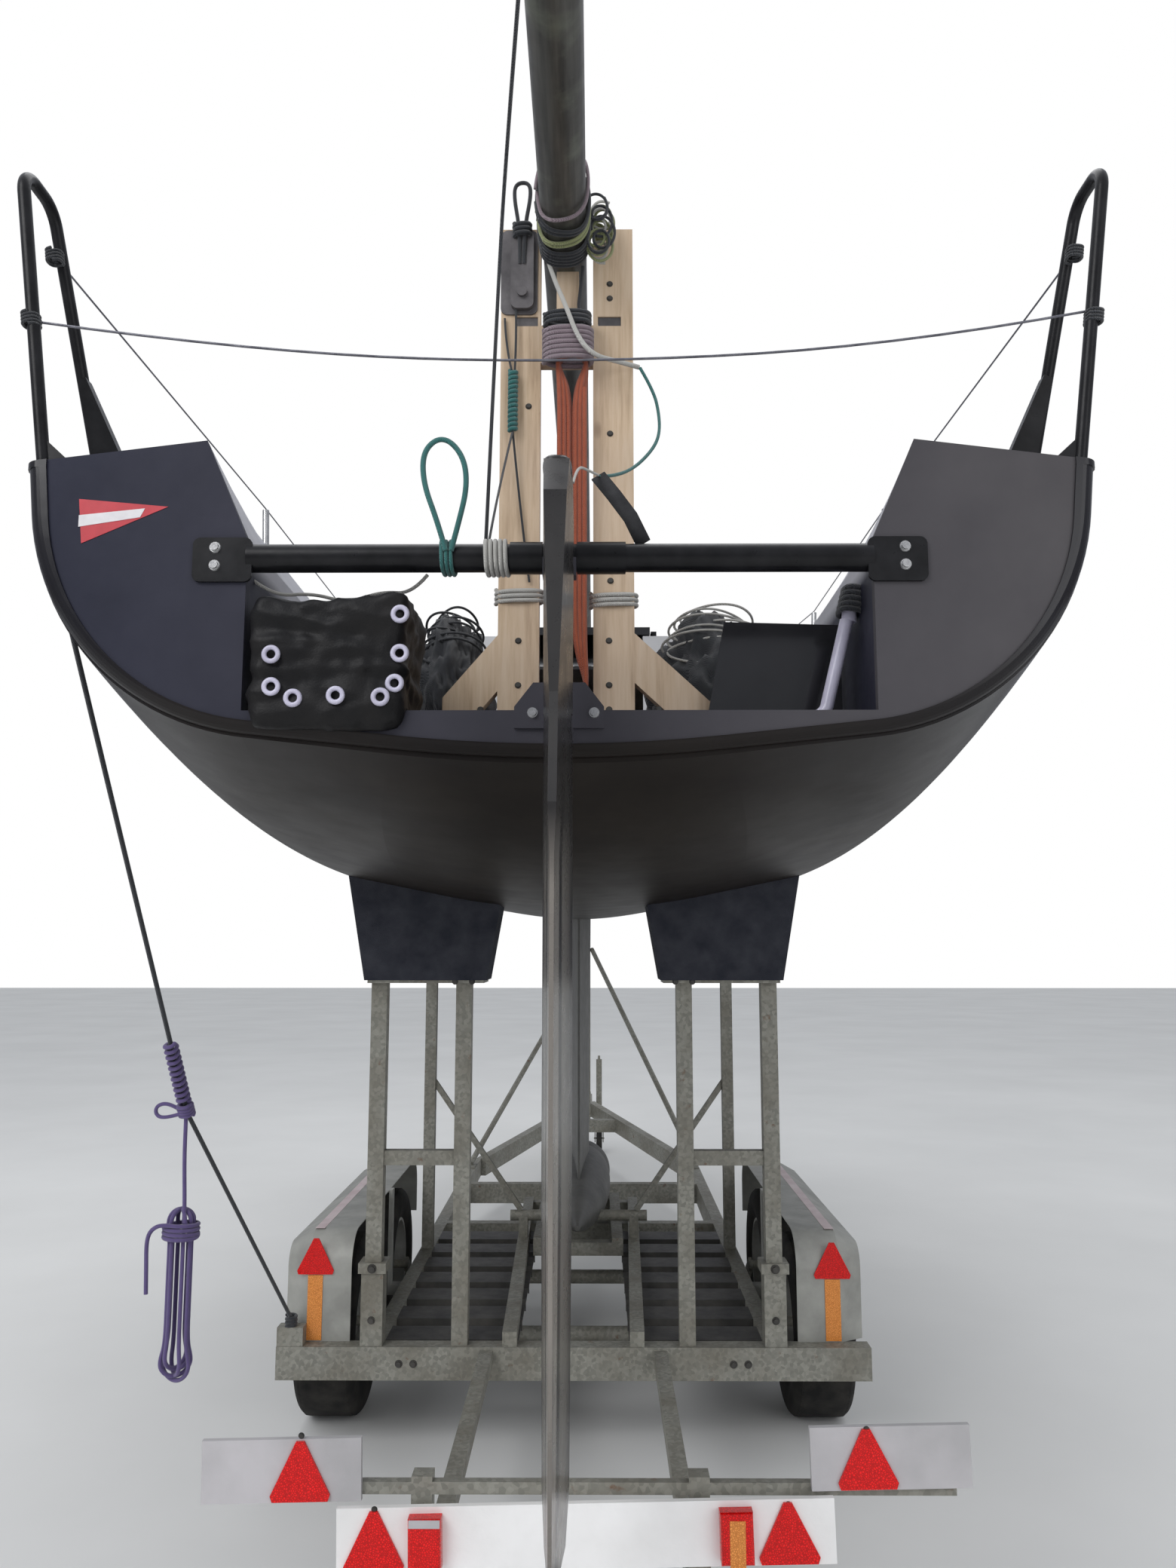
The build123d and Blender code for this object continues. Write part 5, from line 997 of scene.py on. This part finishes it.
def make_heaps():
    """Lumpy mounds of dark sheets; gives back each mound's span."""
    spans = {}
    cut, sunk = -0.55, 0.36
    middle = 0.05
    for side, test in (("left", lambda v: v.co.x < -middle), ("right", lambda v: v.co.x > middle)):
        points = [v.co for v in nodes["rope_heaps"].data.vertices if test(v)]
        spans[side] = (Vector(map(min, zip(*points))), Vector(map(max, zip(*points))))
    work = bmesh.new()
    for first, last in spans.values():
        centre, size = (first + last) / 2, (last - first) / 2
        made = bmesh.ops.create_icosphere(work, subdivisions=5, radius=1.0)
        for vert in made["verts"]:
            p = vert.co.copy()
            ridges = abs(noise.noise(p * 6.0 + Vector((size.x, 0, 0)))) + 0.5 * abs(noise.noise(p * 13.0))
            reach = 0.90 + 0.16 * noise.noise(p * 2.5) - 0.20 * ridges
            flat = max(p.z, cut)
            spot = Vector((p.x * reach, p.y * reach, flat * reach))
            lift = (spot.z + sunk) / (1 + sunk) * 2 * size.z - size.z
            vert.co = centre + Vector((spot.x * size.x, spot.y * size.y, lift))
            vert.co.z = max(vert.co.z, first.z + 0.001)
    heap = from_bmesh("rope_heap_mounds", work, ROPE_DARK)
    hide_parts("rope_heaps")
    return spans


SHEET_DIAMETER = 0.0066


def make_heap_turns(spans):
    """One long sheet thrown in loops over each mound."""
    for number, (side, (first, last)) in enumerate(spans.items()):
        centre, size = (first + last) / 2, (last - first) / 2
        rows = []
        turns, steps = 7, 14
        for step in range(turns * steps):
            turn = step / steps
            angle = 2 * math.pi * turn
            drift = math.sin(turn * 2.1 + number)
            wide = size.x * (0.70 - 0.035 * turn)
            x = centre.x + wide * math.cos(angle) + 0.012 * drift
            lift = 0.60 + 0.045 * turn + 0.10 * math.sin(angle)
            z = min(first.z + 2 * size.z * lift, last.z - 0.006)
            y = first.y + 0.05 + 0.016 * turn + 0.05 * (1 + math.cos(angle * 2 + drift)) / 2
            rows.append(Vector((x, y, z)))
        finish = (ROPE_DARK, ROPE_PALE)[number]
        made = curve(side + "_heap_line", rows, SHEET_DIAMETER, finish)
        line_length(made)


# Trailer details

AMBER_STRIPS = (
    # left edge, right edge, top
    (-0.934, -0.882, 0.585), (0.880, 0.934, 0.573),
)


def make_amber_strips():
    """Amber strips on the aft ends of the mudguards, above the beam."""
    guard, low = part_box("mudguards")[0].y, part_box("chassis_frame")[0].z + 0.112
    for number, (x0, x1, high) in enumerate(AMBER_STRIPS):
        outline = upright_corners(x0, x1, guard, low, high)
        plate("amber_strip_%d" % number, outline, 0.003, AFT, MATERIALS["lamp_amber"])


def make_mudguard_top_highlights():
    """A pale strip along the outer edge of each mudguard's top, a painted highlight where the top catches the
    light.
    """
    low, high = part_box("mudguards")
    edge, width = high.x - 0.082, 0.034
    for side, label in ((-1, "port"), (1, "starboard")):
        outline = flat_corners(side * (edge - width), side * edge, low.y + 0.09, high.y - 0.24, high.z)
        plate("guard_highlight_strip_" + label, outline, 0.001, UP, HIGHLIGHT_PALE)


def make_bow_stays():
    """Slim tubes from the bow post down to feet on the side rails' front ends."""
    rail_top = 0.364
    diameter = 0.034
    zinc = MATERIALS["galvanised"]
    for label, side, high in (("port", -1, 1.49), ("starboard", 1, 1.69)):
        start, end = place(side * 0.052, 6.885, high), place(side * 0.700, 5.13, rail_top + diameter * 0.45)
        line = [start, (start + end) / 2, end]
        curve("bow_stay_" + label, line, diameter, zinc, sides=8)
        foot = flat_corners(side * 0.668, side * 0.716, STERN + 5.05, STERN + 5.20, rail_top)
        plate("bow_stay_foot_" + label, foot, 0.007, UP, zinc)


def make_wheel_details():
    """Tread and wheel nuts on each wheel."""
    disc_face, nut_circle, nuts = 0.042, 0.085, 5
    for name in ("rear_port", "rear_starboard", "front_port", "front_starboard"):
        low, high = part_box("tyre_" + name)
        centre = (low + high) / 2
        side = 1.0 if centre.x > 0 else -1.0
        make_tread(name, centre, (high.z - low.z) / 2, (high.x - low.x) / 2)
        rows = []
        for step in range(nuts):
            angle = 2 * math.pi * step / nuts + 0.3
            y, z = nut_circle * math.cos(angle), nut_circle * math.sin(angle)
            rows.append((centre + Vector((side * disc_face, y, z)), (side, 0, 0), 0.012, 0.018))
        bolt_heads("wheel_nuts_" + name, rows, MATERIALS["dark_steel"], "wheel_" + name)


TREAD_ROWS = (
    # middle and half width, as shares of the tyre's half width
    (-0.62, 0.17), (-0.22, 0.15), (0.22, 0.15), (0.62, 0.17),
)
BLOCK_FACES = ((1, 3, 7, 5), (0, 1, 5, 4), (2, 6, 7, 3), (0, 2, 3, 1), (4, 5, 7, 6))


def make_tread(name, centre, radius, half):
    """Tread blocks round the tyre, closer together on its shoulders."""
    work = bmesh.new()
    blocks, filled, stagger = 56, 0.80, 0.25
    sunk, outer = radius - 0.006, radius - 0.001
    for across, wide in TREAD_ROWS:
        shoulder = abs(across) > 0.5
        count = blocks if shoulder else blocks // 2
        for step in range(count):
            start = 2 * math.pi * (step + (stagger if across > 0 else 0.0)) / count
            stop = start + 2 * math.pi * filled / count
            verts = []
            for angle in (start, stop):
                for x in (across - wide, across + wide):
                    for reach in (sunk, outer):
                        verts.append(work.verts.new((centre.x + x * half, centre.y + reach * math.cos(angle),
                                                     centre.z + reach * math.sin(angle))))
            for face in BLOCK_FACES:
                work.faces.new([verts[i] for i in face])
    bmesh.ops.recalc_face_normals(work, faces=work.faces)
    from_bmesh("tread_" + name, work, MATERIALS["tyre"], "wheel_" + name, smooth=False)


TRAILER_BOLTS = (
    # half span, y, z, radius, height
    (0.699, 1.822, 0.623, 0.012, 0.012), (0.699, 1.832, 0.45, 0.010, 0.010),
    (0.42, 1.780, 1.607, 0.008, 0.007), (0.36, 1.780, 1.607, 0.008, 0.007),
    (0.60, 1.825, 0.31, 0.010, 0.009), (0.55, 1.825, 0.31, 0.010, 0.009),
)


def make_trailer_bolts():
    rows = []
    for span, y, z, radius, height in TRAILER_BOLTS:
        rows += [(place(x, y, z), AFT, radius, height) for x in (-span, span)]
    bolt_heads("trailer_bolts", rows, MATERIALS["dark_steel"])
    caps = [(place(x, 0.27, 0.36), AFT, 0.009, 0.006) for x in (-0.282, 0.318)]
    bolt_heads("tail_bolts", caps, MATERIALS["dark_steel"])


def make_lamp_details():
    """Screws over the reflectors, a pale cap on the left lamp and an amber window in the right one."""
    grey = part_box("light_boards_grey")[0].y
    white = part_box("light_board_white")[0].y
    screws = ((-0.560, grey, 0.688), (0.660, grey, 0.704), (-0.396, white, 0.546), (0.486, white, 0.558))
    rows = [(Vector(spot), AFT, 0.005, 0.003) for spot in screws]
    bolt_heads("board_screws", rows, MATERIALS["dark_steel"], corners=12)
    low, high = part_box("tail_lamps")
    inset, half, rise = 0.036, 0.033, high.z - 0.014
    left, right = low.x + inset, high.x - inset
    cap = upright_corners(left - half, left + half, low.y, high.z - 0.030, rise)
    plate("lamp_cap", cap, 0.0015, AFT, MATERIALS["board_grey"])
    window = upright_corners(right - half / 2, right + half / 2, low.y, low.z + 0.010, rise)
    plate("lamp_window", window, 0.0015, AFT, MATERIALS["lamp_amber"])


make_camera()
dress_nodes()
make_purple_hank()
make_halyard_hank()
make_lashing()
make_floor()
make_world()
make_lamps()
make_stern_bolts()
make_pennant()
shell = make_bag()
make_eyelets(shell)
make_rudder_cap()
make_lines()
make_wraps()
make_loops()
make_tight_lines()
make_tangle()
make_bracket_loop()
heap_spans = make_heaps()
make_heap_turns(heap_spans)
make_amber_strips()
make_mudguard_top_highlights()
make_bow_stays()
make_wheel_details()
make_trailer_bolts()
make_lamp_details()

bpy.context.scene.view_settings.view_transform = "Standard"
